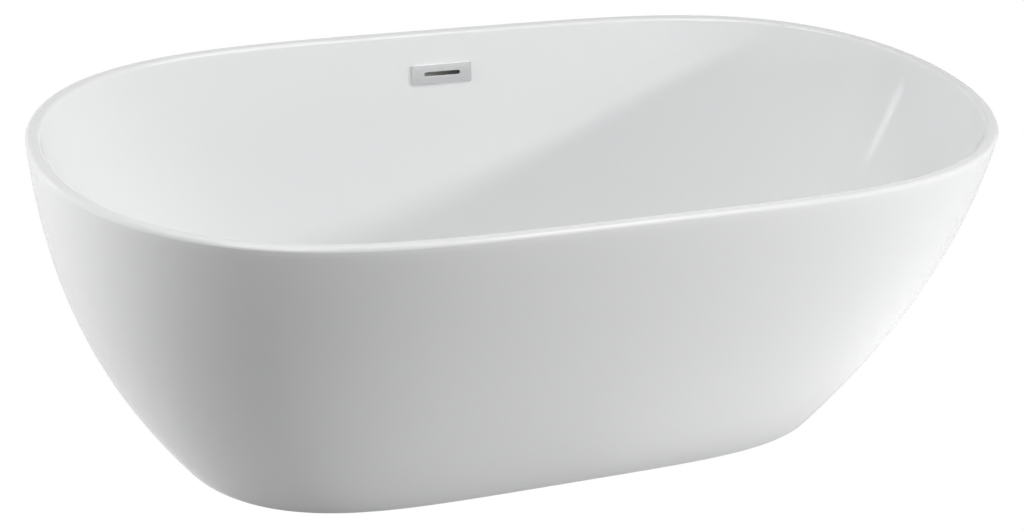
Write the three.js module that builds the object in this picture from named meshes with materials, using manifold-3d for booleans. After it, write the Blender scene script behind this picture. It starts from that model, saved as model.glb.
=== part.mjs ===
// Freestanding double-ended bathtub: two bonded acrylic shells on a steel frame with
// levelling feet, a push-to-close waste and a slotted overflow.
// Millimetres. +X runs along the length, +Y towards the overflow wall, +Z up.
// The origin is on the floor, under the middle of the tub.
import * as THREE from 'three';
import { mergeVertices } from 'three/addons/utils/BufferGeometryUtils.js';
import Module from 'manifold-3d';

const wasm = await Module();
wasm.setup();

// Driving dimensions of the shells.
const LENGTH = 1700;
const WIDTH = 850;
const HEIGHT = 570;
const BASE_LENGTH = 1194;
const BASE_WIDTH = 500;
const RIM_WIDTH = 24;
const RIM_EDGE_RADIUS = 6;
const RIM_INNER_RADIUS = 8;
const SHELL_THICKNESS = 5;
const GAP = 0.3;

// Plan outline |x/a|^p + |y/b|^q = 1: p is larger at the base than at the rim.
const RIM_END_POWER = 4.07;
const BASE_END_POWER = 4.54;
const SIDE_POWER = 2;
// How the skirt swells with height: a straight share, then a share that eases off.
const END_STRAIGHT_SHARE = 1 / 3;
const END_EASE = 2.43;
const SIDE_STRAIGHT_SHARE = 0;
const SIDE_EASE = 1.35;

// Basin wall: one cubic curve from the floor's edge to the rim, in half length,
// half width and height. The rim end stays RIM_WIDTH inside the outline.
const FLOOR_EDGE_HEIGHT = 128;
const FLOOR_UNDERSIDE = 118;
const DRAIN_LAND_HEIGHT = 124;
const DRAIN_LAND_RADIUS = 50;
const WALL_HALF_LENGTH = [530, 650, 785, LENGTH / 2 - RIM_WIDTH];
const WALL_HALF_WIDTH = [190, 285, 372, WIDTH / 2 - RIM_WIDTH];
const WALL_SHOULDER_HEIGHT = 412;
const WALL_THICKNESS = 6;

// Facets: points round an outline, steps up a wall, sides of a round piece.
const AROUND = 56;
const SKIRT_STEPS = 9;
const WALL_STEPS = 12;
const FILLET_STEPS = 3;
const ROUND_SIDES = 20;
const SMALL_SIDES = 16;

// Frame, board and feet.
const BOARD = { length: 1000, width: 320, thickness: 12, corner: 120, wasteHole: 45 };
const TUBE = { side: 30, wall: 2 };
const RAIL_LENGTH = 960;
const RAIL_Y = 105;
const BAR_X = 400;
const BAR_LENGTH = 344;
const FOOT_Y = 140;
const FOOT_TRAVEL = 17.5;
const STUD_RADIUS = 6;
const NUT = { acrossFlats: 19, thickness: 10 };
const BASE_FLANGE = { width: 45, thickness: 5 };

// Waste, under the middle of the floor.
const WASTE_BORE = 19.5;
const WASTE_TUBE_RADIUS = 22;
const SIDE_PORT_HEIGHT = 60;

// Overflow: a flat plate on the flat of the +Y wall between two steps of its curve.
const OVERFLOW_STEP = 10;
const OVERFLOW_SHARE = 0.45;
const PLATE = { width: 116, height: 35, thickness: 4, slotWidth: 70, slotHeight: 7.5 };
const HOSE_RADIUS = 10;
const HOSE_BORE = 8;
const SPIGOT_RADIUS = 7;
const SPIGOT_BORE = 5;

const finish = {
  acrylic: new THREE.MeshStandardMaterial({ color: 0xf2f3f4, roughness: 0.12, metalness: 0 }),
  resin: new THREE.MeshStandardMaterial({ color: 0xd8cfae, roughness: 0.5, metalness: 0 }),
  board: new THREE.MeshStandardMaterial({ color: 0xc29a66, roughness: 0.8, metalness: 0 }),
  steel: new THREE.MeshStandardMaterial({ color: 0x9fa3a6, roughness: 0.45, metalness: 0.8 }),
  zinc: new THREE.MeshStandardMaterial({ color: 0xb9bcb8, roughness: 0.35, metalness: 0.9 }),
  chrome: new THREE.MeshStandardMaterial({ color: 0xd6d8da, roughness: 0.08, metalness: 1 }),
  brass: new THREE.MeshStandardMaterial({ color: 0xc2a14c, roughness: 0.3, metalness: 1 }),
  rubber: new THREE.MeshStandardMaterial({ color: 0x1d1d1e, roughness: 0.8, metalness: 0 }),
  whitePlastic: new THREE.MeshStandardMaterial({ color: 0xe8e8e4, roughness: 0.45, metalness: 0 }),
  greyHose: new THREE.MeshStandardMaterial({ color: 0x9a9c9e, roughness: 0.55, metalness: 0 }),
};

const tub = new THREE.Group();

function add(name, geometry, material, parent = tub) {
  const mesh = new THREE.Mesh(geometry, material);
  mesh.name = name;
  parent.add(mesh);
  return mesh;
}

// ---- Solid helpers ----------------------------------------------------------

function merged(geometry) {
  const bare = geometry.clone();
  bare.deleteAttribute('normal');
  bare.deleteAttribute('uv');
  return mergeVertices(bare);
}

function signedVolume(geometry) {
  const at = geometry.getAttribute('position');
  const index = geometry.getIndex();
  const corner = [new THREE.Vector3(), new THREE.Vector3(), new THREE.Vector3()];
  let total = 0;
  for (let i = 0; i < index.count; i += 3) {
    corner.forEach((point, k) => point.fromBufferAttribute(at, index.getX(i + k)));
    total += corner[0].dot(corner[1].clone().cross(corner[2])) / 6;
  }
  return total;
}

// Merged copy of a closed geometry, turned so that its faces point out.
function outward(geometry) {
  const bare = merged(geometry);
  if (signedVolume(bare) < 0) {
    const index = bare.getIndex();
    for (let i = 0; i < index.count; i += 3) {
      const second = index.getX(i + 1);
      index.setX(i + 1, index.getX(i + 2));
      index.setX(i + 2, second);
    }
  }
  return bare;
}

function toSolid(geometry) {
  const bare = outward(geometry);
  return new wasm.Manifold(new wasm.Mesh({
    numProp: 3,
    vertProperties: new Float32Array(bare.getAttribute('position').array),
    triVerts: new Uint32Array(bare.getIndex().array),
  }));
}

function toGeometry(solid) {
  const mesh = solid.getMesh();
  const geometry = new THREE.BufferGeometry();
  geometry.setAttribute('position', new THREE.BufferAttribute(mesh.vertProperties, 3));
  geometry.setIndex(new THREE.BufferAttribute(mesh.triVerts, 1));
  return geometry;
}

function cut(geometry, ...tools) {
  return toGeometry(tools.reduce((solid, tool) => solid.subtract(toSolid(tool)), toSolid(geometry)));
}

function join(geometry, ...others) {
  return toGeometry(others.reduce((solid, other) => solid.add(toSolid(other)), toSolid(geometry)));
}

// Round piece about the Z axis, from [radius, height] corners.
function lathe(corners, sides = ROUND_SIDES) {
  const profile = corners.map(([radius, height]) => new THREE.Vector2(radius, height));
  return outward(new THREE.LatheGeometry(profile, sides).rotateX(Math.PI / 2));
}

// Ring about the Z axis with a rectangular section.
function ring(inner, outer, low, high, sides = ROUND_SIDES) {
  return lathe([[inner, low], [outer, low], [outer, high], [inner, high], [inner, low]], sides);
}

function disc(radius, low, high, sides = ROUND_SIDES) {
  return lathe([[0, low], [radius, low], [radius, high], [0, high]], sides);
}

// Box from its lowest and highest corners.
function block(low, high) {
  const size = high.map((value, k) => value - low[k]);
  const middle = high.map((value, k) => (value + low[k]) / 2);
  return new THREE.BoxGeometry(...size).translate(...middle);
}

// Upright prism of a flat shape.
function prism(shape, low, high, sides = 5) {
  const settings = { depth: high - low, bevelEnabled: false, curveSegments: sides };
  return outward(new THREE.ExtrudeGeometry(shape, settings).translate(0, 0, low));
}

function roundedRectangle(width, height, corner) {
  const x = width / 2;
  const y = height / 2;
  const shape = new THREE.Shape();
  shape.moveTo(corner - x, -y);
  shape.lineTo(x - corner, -y);
  shape.absarc(x - corner, corner - y, corner, -Math.PI / 2, 0);
  shape.lineTo(x, y - corner);
  shape.absarc(x - corner, y - corner, corner, 0, Math.PI / 2);
  shape.lineTo(corner - x, y);
  shape.absarc(corner - x, y - corner, corner, Math.PI / 2, Math.PI);
  shape.lineTo(-x, corner - y);
  shape.absarc(corner - x, corner - y, corner, Math.PI, Math.PI * 1.5);
  return shape;
}

function hexagon(acrossFlats) {
  const corners = [];
  for (let i = 0; i < 6; i += 1) {
    const angle = (i * Math.PI) / 3;
    corners.push(new THREE.Vector2(Math.cos(angle), Math.sin(angle)));
  }
  const radius = acrossFlats / Math.sqrt(3);
  return new THREE.Shape(corners.map((corner) => corner.multiplyScalar(radius)));
}

// ---- Shell outlines and lofts -----------------------------------------------

// Plan outline at one height, moved inwards along its own normal by inset.
function outline(section, inset, height) {
  const points = [];
  for (let i = 0; i < AROUND; i += 1) {
    const angle = (2 * Math.PI * i) / AROUND;
    const c = Math.cos(angle);
    const s = Math.sin(angle);
    const x = Math.sign(c) * Math.abs(c) ** (2 / section.p);
    const y = Math.sign(s) * Math.abs(s) ** (2 / section.q);
    const normal = new THREE.Vector2(
      (Math.sign(x) * section.p * Math.abs(x) ** (section.p - 1)) / section.a,
      (Math.sign(y) * section.q * Math.abs(y) ** (section.q - 1)) / section.b,
    ).normalize();
    points.push(new THREE.Vector3(
      section.a * x - inset * normal.x,
      section.b * y - inset * normal.y,
      height,
    ));
  }
  return points;
}

// Skin over rings of equal point count, ordered up the outside and down the inside.
// A looped skin closes on its first ring; any other gets a flat cap at each end.
function loft(rings, looped) {
  const points = rings.flat();
  const faces = [];
  const spans = looped ? rings.length : rings.length - 1;
  for (let k = 0; k < spans; k += 1) {
    const here = k * AROUND;
    const next = ((k + 1) % rings.length) * AROUND;
    for (let i = 0; i < AROUND; i += 1) {
      const j = (i + 1) % AROUND;
      faces.push(here + i, here + j, next + j, here + i, next + j, next + i);
    }
  }
  if (!looped) {
    const last = (rings.length - 1) * AROUND;
    points.push(new THREE.Vector3(0, 0, rings[0][0].z));
    points.push(new THREE.Vector3(0, 0, rings[rings.length - 1][0].z));
    for (let i = 0; i < AROUND; i += 1) {
      const j = (i + 1) % AROUND;
      faces.push(points.length - 2, j, i);
      faces.push(points.length - 1, last + i, last + j);
    }
  }
  const geometry = new THREE.BufferGeometry().setFromPoints(points);
  geometry.setIndex(faces);
  return geometry;
}

// Share of the swell from base to rim reached at a share t of the height.
function swell(t, straight, ease) {
  return straight * t + (1 - straight) * (1 - (1 - t) ** ease);
}

const RIM_EDGE_HEIGHT = HEIGHT - RIM_EDGE_RADIUS;

function skirtSection(height) {
  const t = height / RIM_EDGE_HEIGHT;
  const endSwell = swell(t, END_STRAIGHT_SHARE, END_EASE);
  const sideSwell = swell(t, SIDE_STRAIGHT_SHARE, SIDE_EASE);
  return {
    a: (BASE_LENGTH + (LENGTH - BASE_LENGTH) * endSwell) / 2,
    b: (BASE_WIDTH + (WIDTH - BASE_WIDTH) * sideSwell) / 2,
    p: BASE_END_POWER + (RIM_END_POWER - BASE_END_POWER) * t,
    q: SIDE_POWER,
  };
}

function skirtRing(height, inset) {
  return outline(skirtSection(height), inset, height);
}

function bezier(control, t) {
  const s = 1 - t;
  return s ** 3 * control[0] + 3 * s * s * t * control[1]
    + 3 * s * t * t * control[2] + t ** 3 * control[3];
}

const WALL_TOP = HEIGHT - RIM_INNER_RADIUS;

// Basin wall section a share t of the way up its curve, from a floor at floorHeight.
function wallSection(t, floorHeight = FLOOR_EDGE_HEIGHT) {
  return {
    a: bezier(WALL_HALF_LENGTH, t),
    b: bezier(WALL_HALF_WIDTH, t),
    height: bezier([floorHeight, floorHeight, WALL_SHOULDER_HEIGHT, WALL_TOP], t),
  };
}

// The wall's outline is an inset of the rim's kind of outline, so the rim's width is even.
function wallRing(t, thickness, floorHeight) {
  const section = wallSection(t, floorHeight);
  const outer = {
    a: section.a + RIM_WIDTH,
    b: section.b + RIM_WIDTH,
    p: RIM_END_POWER,
    q: SIDE_POWER,
  };
  return outline(outer, RIM_WIDTH - thickness, section.height);
}

// Quarter-round of the rim: insets and heights from the vertical to the flat.
function rimArc(centreInset, centreHeight, radius, fromAngle, toAngle) {
  const rings = [];
  for (let i = 0; i <= FILLET_STEPS; i += 1) {
    const angle = fromAngle + ((toAngle - fromAngle) * i) / FILLET_STEPS;
    const inset = centreInset - radius * Math.cos(angle);
    const height = centreHeight + radius * Math.sin(angle);
    rings.push(outline(skirtSection(RIM_EDGE_HEIGHT), inset, height));
  }
  return rings;
}

// ---- Shells -----------------------------------------------------------------

function basinLoft() {
  const rings = [];
  for (let k = 0; k <= WALL_STEPS; k += 1) {
    rings.push(wallRing(k / WALL_STEPS, WALL_THICKNESS, FLOOR_UNDERSIDE));
  }
  const rim = skirtSection(RIM_EDGE_HEIGHT);
  rings.push(outline(rim, RIM_WIDTH - WALL_THICKNESS, RIM_EDGE_HEIGHT));
  rings.push(...rimArc(RIM_EDGE_RADIUS, RIM_EDGE_HEIGHT, RIM_EDGE_RADIUS, 0, Math.PI / 2));
  const innerCentre = RIM_WIDTH - RIM_INNER_RADIUS;
  rings.push(...rimArc(innerCentre, WALL_TOP, RIM_INNER_RADIUS, Math.PI / 2, Math.PI));
  for (let k = WALL_STEPS - 1; k >= 0; k -= 1) {
    rings.push(wallRing(k / WALL_STEPS, 0, FLOOR_EDGE_HEIGHT));
  }
  const land = { a: DRAIN_LAND_RADIUS, b: DRAIN_LAND_RADIUS, p: 2, q: 2 };
  const edge = wallSection(0);
  const half = {
    a: (edge.a + land.a) / 2,
    b: (edge.b + land.b) / 2,
    p: 3,
    q: 2,
  };
  rings.push(outline(half, 0, (FLOOR_EDGE_HEIGHT + DRAIN_LAND_HEIGHT) / 2));
  rings.push(outline(land, 0, DRAIN_LAND_HEIGHT));
  return loft(rings, false);
}

// Frame of the overflow: the wall's face at x = 0, with +Z up the wall and -Y into the tub.
const belowOverflow = wallSection(OVERFLOW_STEP / WALL_STEPS);
const aboveOverflow = wallSection((OVERFLOW_STEP + 1) / WALL_STEPS);
const overflowFlat = new THREE.Vector2(
  aboveOverflow.b - belowOverflow.b,
  aboveOverflow.height - belowOverflow.height,
);
const OVERFLOW_LEAN = Math.atan2(overflowFlat.x, overflowFlat.y);

function toOverflowWall(geometry) {
  const y = belowOverflow.b + OVERFLOW_SHARE * overflowFlat.x;
  const z = belowOverflow.height + OVERFLOW_SHARE * overflowFlat.y;
  return geometry.rotateX(-OVERFLOW_LEAN).translate(0, y, z);
}

// Flat piece parallel to the overflow wall, from a front shape; front and back are
// distances behind the wall's inner face, negative inside the tub.
function wallPlate(shape, front, back, sides = 3) {
  const settings = { depth: back - front, bevelEnabled: false, curveSegments: sides };
  const plate = new THREE.ExtrudeGeometry(shape, settings);
  return outward(plate.rotateX(Math.PI / 2).translate(0, back, 0));
}

function makeBasin() {
  const drainHole = disc(WASTE_TUBE_RADIUS + 0.6, FLOOR_UNDERSIDE - 10, DRAIN_LAND_HEIGHT + 10);
  const opening = wallPlate(roundedRectangle(96, 20, 9.9), -20, 20);
  add('basin_shell', cut(basinLoft(), drainHole, toOverflowWall(opening)), finish.acrylic);
}

function makeSkirt() {
  const footRadius = 3;
  const top = RIM_EDGE_HEIGHT - GAP;
  const heightAt = (low, k) => low + ((top - low) * k) / SKIRT_STEPS;
  const rings = [skirtRing(0, footRadius)];
  rings.push(skirtRing(footRadius * 0.3, footRadius * 0.3));
  for (let k = 0; k <= SKIRT_STEPS; k += 1) {
    rings.push(skirtRing(heightAt(footRadius, k), 0));
  }
  for (let k = SKIRT_STEPS; k >= 0; k -= 1) {
    rings.push(skirtRing(heightAt(BASE_FLANGE.thickness, k), SHELL_THICKNESS));
  }
  const base = skirtSection(0);
  rings.push(outline(base, BASE_FLANGE.width, BASE_FLANGE.thickness));
  rings.push(outline(base, BASE_FLANGE.width, 0));
  add('skirt_shell', loft(rings, true), finish.acrylic);
}

// Resin that fills the channel under the rim, between the two shells.
function makeRimBond() {
  const depth = 16;
  const top = RIM_EDGE_HEIGHT - GAP;
  const rim = skirtSection(RIM_EDGE_HEIGHT);
  const leanAllowance = 5;
  const outer = SHELL_THICKNESS + GAP;
  const inner = RIM_WIDTH - WALL_THICKNESS - GAP;
  add('rim_bond', loft([
    outline(rim, outer + leanAllowance, top - depth),
    outline(rim, outer + 0.5, top),
    outline(rim, inner - 0.2, top),
    outline(rim, inner, top - depth),
  ], true), finish.resin);
}

// ---- Board and frame --------------------------------------------------------

const BOARD_TOP = FLOOR_UNDERSIDE - GAP;
const BOARD_BOTTOM = BOARD_TOP - BOARD.thickness;
const RAIL_TOP = BOARD_BOTTOM - GAP;
const RAIL_BOTTOM = RAIL_TOP - TUBE.side;
const BAR_TOP = RAIL_BOTTOM - GAP;
const BAR_BOTTOM = BAR_TOP - TUBE.side;
const SCREW = { x: [-300, 0, 300], shank: 2.4, head: 5.5, headThickness: 3, top: BOARD_TOP - 3 };

function eachScrew(visit) {
  let number = 1;
  for (const y of [-RAIL_Y, RAIL_Y]) {
    for (const x of SCREW.x) {
      visit(x, y, number);
      number += 1;
    }
  }
}

function makeBoard() {
  const shape = roundedRectangle(BOARD.length, BOARD.width, BOARD.corner);
  const tools = [disc(BOARD.wasteHole, BOARD_BOTTOM - 5, BOARD_TOP + 5)];
  eachScrew((x, y) => {
    tools.push(disc(SCREW.shank + 0.3, BOARD_BOTTOM - 5, SCREW.top + 0.4, 8).translate(x, y, 0));
  });
  add('floor_board', cut(prism(shape, BOARD_BOTTOM, BOARD_TOP), ...tools), finish.board);
}

// Square tube along X, centred on the origin.
function squareTube(length) {
  const shape = roundedRectangle(TUBE.side, TUBE.side, 3);
  shape.holes.push(roundedRectangle(TUBE.side - 2 * TUBE.wall, TUBE.side - 2 * TUBE.wall, 1.5));
  return prism(shape, -length / 2, length / 2, 2).rotateY(Math.PI / 2);
}

function makeRails() {
  const names = { [-RAIL_Y]: 'frame_rail_front', [RAIL_Y]: 'frame_rail_rear' };
  for (const railY of [-RAIL_Y, RAIL_Y]) {
    const rail = squareTube(RAIL_LENGTH).translate(0, railY, (RAIL_TOP + RAIL_BOTTOM) / 2);
    const tools = SCREW.x.map((x) => (
      disc(SCREW.shank + 0.3, RAIL_BOTTOM - 5, RAIL_TOP + 5, 8).translate(x, railY, 0)
    ));
    add(names[railY], cut(rail, ...tools), finish.steel);
  }
}

function makeRailScrews() {
  eachScrew((x, y, number) => {
    const under = RAIL_BOTTOM - GAP;
    const screw = lathe([
      [0, under - SCREW.headThickness],
      [SCREW.head * 0.6, under - SCREW.headThickness],
      [SCREW.head, under - 1],
      [SCREW.head, under],
      [SCREW.shank, under],
      [SCREW.shank, SCREW.top - 4],
      [0, SCREW.top],
    ], 8);
    add(`rail_screw_${number}`, screw.translate(x, y, 0), finish.zinc);
  });
}

function makeBars() {
  const names = { [-BAR_X]: 'frame_bar_left', [BAR_X]: 'frame_bar_right' };
  for (const barX of [-BAR_X, BAR_X]) {
    const bar = squareTube(BAR_LENGTH).rotateZ(Math.PI / 2);
    bar.translate(barX, 0, (BAR_TOP + BAR_BOTTOM) / 2);
    const tools = [-FOOT_Y, FOOT_Y].map((y) => (
      disc(STUD_RADIUS + 0.6, BAR_BOTTOM - 5, BAR_TOP + 5, SMALL_SIDES).translate(barX, y, 0)
    ));
    add(names[barX], cut(bar, ...tools), finish.steel);
  }
}

// Angle bracket that ties a bar's end down to the skirt's base flange.
function makeSkirtBracket(x, side, name) {
  const width = 24;
  const thickness = 3;
  const reach = 30;
  const end = BAR_LENGTH / 2 + GAP;
  const low = BASE_FLANGE.thickness + GAP;
  const profile = new THREE.Shape([
    new THREE.Vector2(end, low),
    new THREE.Vector2(end + reach, low),
    new THREE.Vector2(end + reach, low + thickness),
    new THREE.Vector2(end + thickness, low + thickness),
    new THREE.Vector2(end + thickness, BAR_TOP),
    new THREE.Vector2(end, BAR_TOP),
  ]);
  const bracket = prism(profile, -width / 2, width / 2);
  bracket.rotateX(Math.PI / 2).rotateZ(Math.PI / 2);
  if (side < 0) bracket.rotateZ(Math.PI);
  add(name, bracket.translate(x, 0, 0), finish.zinc);
}

// ---- Levelling feet ---------------------------------------------------------

const PAD = { radius: 25, neck: 12, height: 18, socketFloor: 7.5 };
const WELD_NUT_LOW = BAR_TOP + GAP;
const STUD_TOP = WELD_NUT_LOW + NUT.thickness + FOOT_TRAVEL;
const STUD = { low: 8, high: STUD_TOP, flangeLow: 18.5, flangeHigh: 25 };

function makePad() {
  return lathe([
    [0, 0],
    [PAD.radius, 0],
    [PAD.radius, 4],
    [PAD.radius - 4, 7],
    [PAD.neck, 11],
    [PAD.neck, PAD.height],
    [STUD_RADIUS + 0.4, PAD.height],
    [STUD_RADIUS + 0.4, PAD.socketFloor],
    [0, PAD.socketFloor],
  ], SMALL_SIDES);
}

function makeStud() {
  const rod = lathe([
    [0, STUD.low],
    [STUD_RADIUS, STUD.low],
    [STUD_RADIUS, STUD.high - 1.5],
    [STUD_RADIUS - 1.5, STUD.high],
    [0, STUD.high],
  ], SMALL_SIDES);
  return join(rod, prism(hexagon(NUT.acrossFlats - 2), STUD.flangeLow, STUD.flangeHigh));
}

function makeNut(low) {
  const hole = disc(STUD_RADIUS + 0.3, low - 1, low + NUT.thickness + 1, SMALL_SIDES);
  return cut(prism(hexagon(NUT.acrossFlats), low, low + NUT.thickness), hole);
}

function makeFeet() {
  let number = 1;
  for (const x of [-BAR_X, BAR_X]) {
    for (const side of [-1, 1]) {
      const foot = new THREE.Group();
      foot.position.set(x, side * FOOT_Y, 0);
      tub.add(foot);
      add(`foot_pad_${number}`, makePad(), finish.rubber, foot);
      add(`foot_stud_${number}`, makeStud(), finish.zinc, foot);
      const lockNutLow = BAR_BOTTOM - GAP - NUT.thickness;
      add(`foot_lock_nut_${number}`, makeNut(lockNutLow), finish.zinc, foot);
      add(`foot_weld_nut_${number}`, makeNut(WELD_NUT_LOW), finish.steel, foot);
      makeSkirtBracket(x, side, `skirt_bracket_${number}`);
      number += 1;
    }
  }
}

// ---- Waste ------------------------------------------------------------------

const FLANGE = { radius: 35, low: DRAIN_LAND_HEIGHT + GAP, high: DRAIN_LAND_HEIGHT + 2.8 };
const SPIDER = { low: 92, high: 100, boss: 10, bore: 7.3, arm: 2.5 };

function makeDrainFlange() {
  const bodyLow = 88;
  const body = lathe([
    [WASTE_BORE, bodyLow],
    [WASTE_TUBE_RADIUS, bodyLow],
    [WASTE_TUBE_RADIUS, FLANGE.low],
    [FLANGE.radius, FLANGE.low],
    [FLANGE.radius, FLANGE.high - 1.2],
    [FLANGE.radius - 2, FLANGE.high],
    [WASTE_BORE + 2, FLANGE.high],
    [WASTE_BORE, FLANGE.high - 4.3],
    [WASTE_BORE, bodyLow],
  ]);
  const reach = WASTE_BORE + 1;
  const arm = SPIDER.arm / 2;
  const armX = block([-reach, -arm, SPIDER.low + 1], [reach, arm, SPIDER.high - 1]);
  const armY = block([-arm, -reach, SPIDER.low + 1], [arm, reach, SPIDER.high - 1]);
  const boss = disc(SPIDER.boss, SPIDER.low, SPIDER.high);
  const bore = disc(SPIDER.bore, SPIDER.low - 1, SPIDER.high + 1);
  add('drain_flange', cut(join(body, armX, armY, boss), bore), finish.chrome);
}

function makeDrainGasket() {
  const gasket = ring(WASTE_TUBE_RADIUS + 0.4, 36, FLOOR_UNDERSIDE - GAP - 3.8, FLOOR_UNDERSIDE - GAP);
  add('drain_gasket', gasket, finish.rubber);
}

const SHOE = { top: 113.6, flange: 38, body: 28, bore: WASTE_TUBE_RADIUS + 0.4, outlet: 20.5, low: 26 };

function makeWasteShoe() {
  const outletBore = 17;
  const body = lathe([
    [outletBore, SHOE.low],
    [SHOE.outlet, SHOE.low],
    [SHOE.outlet, 36],
    [SHOE.body, 42],
    [SHOE.body, 103],
    [SHOE.flange, SHOE.top - 5],
    [SHOE.flange, SHOE.top],
    [SHOE.bore, SHOE.top],
    [SHOE.bore, 46],
    [outletBore, 38],
    [outletBore, SHOE.low],
  ]);
  const alongY = (piece) => piece.rotateX(-Math.PI / 2).translate(0, 0, SIDE_PORT_HEIGHT);
  const port = alongY(disc(SPIGOT_RADIUS, SHOE.bore + 2, 66, SMALL_SIDES));
  const portBore = alongY(disc(SPIGOT_BORE, SHOE.bore - 4, 70, SMALL_SIDES));
  add('waste_shoe', cut(join(body, port), portBore), finish.whitePlastic);
}

function makeTailpiece() {
  add('waste_tailpiece', ring(14.5, 16.7, 5, 33), finish.whitePlastic);
  const nut = lathe([
    [17.1, 13],
    [24, 13],
    [26, 15],
    [26, 33],
    [20.9, 33],
    [20.9, 23],
    [17.1, 23],
    [17.1, 13],
  ]);
  add('tailpiece_nut', nut, finish.whitePlastic);
}

// The stopper, drawn closed. The click cartridge guides its spindle and holds the spring.
const CARTRIDGE = { low: 72, high: 121, radius: 7, bore: 5.6, floor: 75, neckLow: 117, neck: 3.4 };
const SPINDLE = { radius: 3, head: 5.2, headLow: 104, headHigh: 107, high: 128 };
const CAP = { radius: 31, low: FLANGE.high + 0.4, boss: 7, bossLow: CARTRIDGE.high + 1.3 };

function makeCartridge() {
  const collar = SPIDER.bore + 2.2;
  const housing = lathe([
    [0, CARTRIDGE.low],
    [CARTRIDGE.radius, CARTRIDGE.low],
    [CARTRIDGE.radius, SPIDER.high + GAP],
    [collar, SPIDER.high + GAP],
    [collar, SPIDER.high + 3],
    [CARTRIDGE.radius, SPIDER.high + 3],
    [CARTRIDGE.radius, CARTRIDGE.high],
    [CARTRIDGE.neck, CARTRIDGE.high],
    [CARTRIDGE.neck, CARTRIDGE.neckLow],
    [CARTRIDGE.bore, CARTRIDGE.neckLow],
    [CARTRIDGE.bore, CARTRIDGE.floor],
    [0, CARTRIDGE.floor],
  ], SMALL_SIDES);
  add('click_cartridge', housing, finish.brass);
}

class Helix extends THREE.Curve {
  constructor(radius, low, high, turns) {
    super();
    Object.assign(this, { radius, low, high, turns });
  }

  getPoint(t) {
    const angle = 2 * Math.PI * this.turns * t;
    const height = this.low + (this.high - this.low) * t;
    return new THREE.Vector3(this.radius * Math.cos(angle), this.radius * Math.sin(angle), height);
  }
}

function makeSpring() {
  const wire = 0.5;
  const turns = 6;
  const stepsPerTurn = 9;
  const clear = wire + GAP;
  const path = new Helix(4.3, CARTRIDGE.floor + clear, SPINDLE.headLow - clear, turns);
  const section = new THREE.Shape();
  section.absarc(0, 0, wire, 0, 2 * Math.PI);
  const settings = { steps: turns * stepsPerTurn, curveSegments: 3, extrudePath: path };
  add('cartridge_spring', outward(new THREE.ExtrudeGeometry(section, settings)), finish.steel);
}

function makeStopper() {
  const spindle = lathe([
    [0, SPINDLE.headLow],
    [SPINDLE.head, SPINDLE.headLow],
    [SPINDLE.head, SPINDLE.headHigh],
    [SPINDLE.radius, SPINDLE.headHigh],
    [SPINDLE.radius, SPINDLE.high],
    [0, SPINDLE.high],
  ], SMALL_SIDES);
  add('stopper_spindle', spindle, finish.brass);
  const cap = lathe([
    [0, SPINDLE.high + GAP],
    [SPINDLE.radius + 0.2, SPINDLE.high + GAP],
    [SPINDLE.radius + 0.2, CAP.bossLow],
    [CAP.boss, CAP.bossLow],
    [CAP.boss, CAP.low],
    [CAP.radius, CAP.low],
    [CAP.radius, CAP.low + 1],
    [CAP.radius - 2, CAP.low + 2.8],
    [CAP.radius - 9, CAP.low + 5],
    [CAP.radius - 19, CAP.low + 6.3],
    [0, CAP.low + 6.8],
  ]);
  add('stopper_cap', cap, finish.chrome);
  const seal = lathe([
    [CAP.boss + GAP, CAP.low - 3.8],
    [WASTE_BORE - 0.6, CAP.low - 3.8],
    [WASTE_BORE + 1, CAP.low - GAP],
    [CAP.boss + GAP, CAP.low - GAP],
    [CAP.boss + GAP, CAP.low - 3.8],
  ]);
  add('stopper_seal', seal, finish.rubber);
}

// ---- Overflow ---------------------------------------------------------------

const WALL_BACK = WALL_THICKNESS * Math.cos(OVERFLOW_LEAN);
const PEG = { x: 40, radius: 3 };
const BOX = { width: 120, height: 44, front: WALL_BACK + 2.8, depth: 12 };

function makeOverflowPlate() {
  const shape = roundedRectangle(PLATE.width, PLATE.height, 1.5);
  shape.holes.push(roundedRectangle(PLATE.slotWidth, PLATE.slotHeight, PLATE.slotHeight / 2 - 0.05));
  const seat = -0.8;
  const face = wallPlate(shape, seat - PLATE.thickness, seat);
  const pegs = [-PEG.x, PEG.x].map((x) => (
    disc(PEG.radius, -2, BOX.front + 1.5, 8).rotateX(-Math.PI / 2).translate(x, 0, 0)
  ));
  add('overflow_plate', toOverflowWall(join(face, ...pegs)), finish.chrome);
}

function makeOverflowGasket() {
  const shape = roundedRectangle(BOX.width, BOX.height, 10);
  shape.holes.push(roundedRectangle(98, 22, 10.9));
  const gasket = wallPlate(shape, WALL_BACK + 0.4, BOX.front - GAP);
  add('overflow_gasket', toOverflowWall(gasket), finish.rubber);
}

// Flat duct and hose spigot, from under the box down between the two shells.
const DUCT = { top: [395.4, 470], bottom: [345.3, 303], width: 60, thickness: 12, wall: 2 };
const ductRun = new THREE.Vector2(...DUCT.bottom).sub(new THREE.Vector2(...DUCT.top));
const DUCT_LENGTH = ductRun.length();
const DUCT_ANGLE = Math.atan2(-ductRun.x, -ductRun.y);

// Places a piece drawn downwards from the origin along the duct's own line.
function alongDuct(geometry) {
  return geometry.rotateX(-DUCT_ANGLE).translate(0, ...DUCT.top);
}

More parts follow.
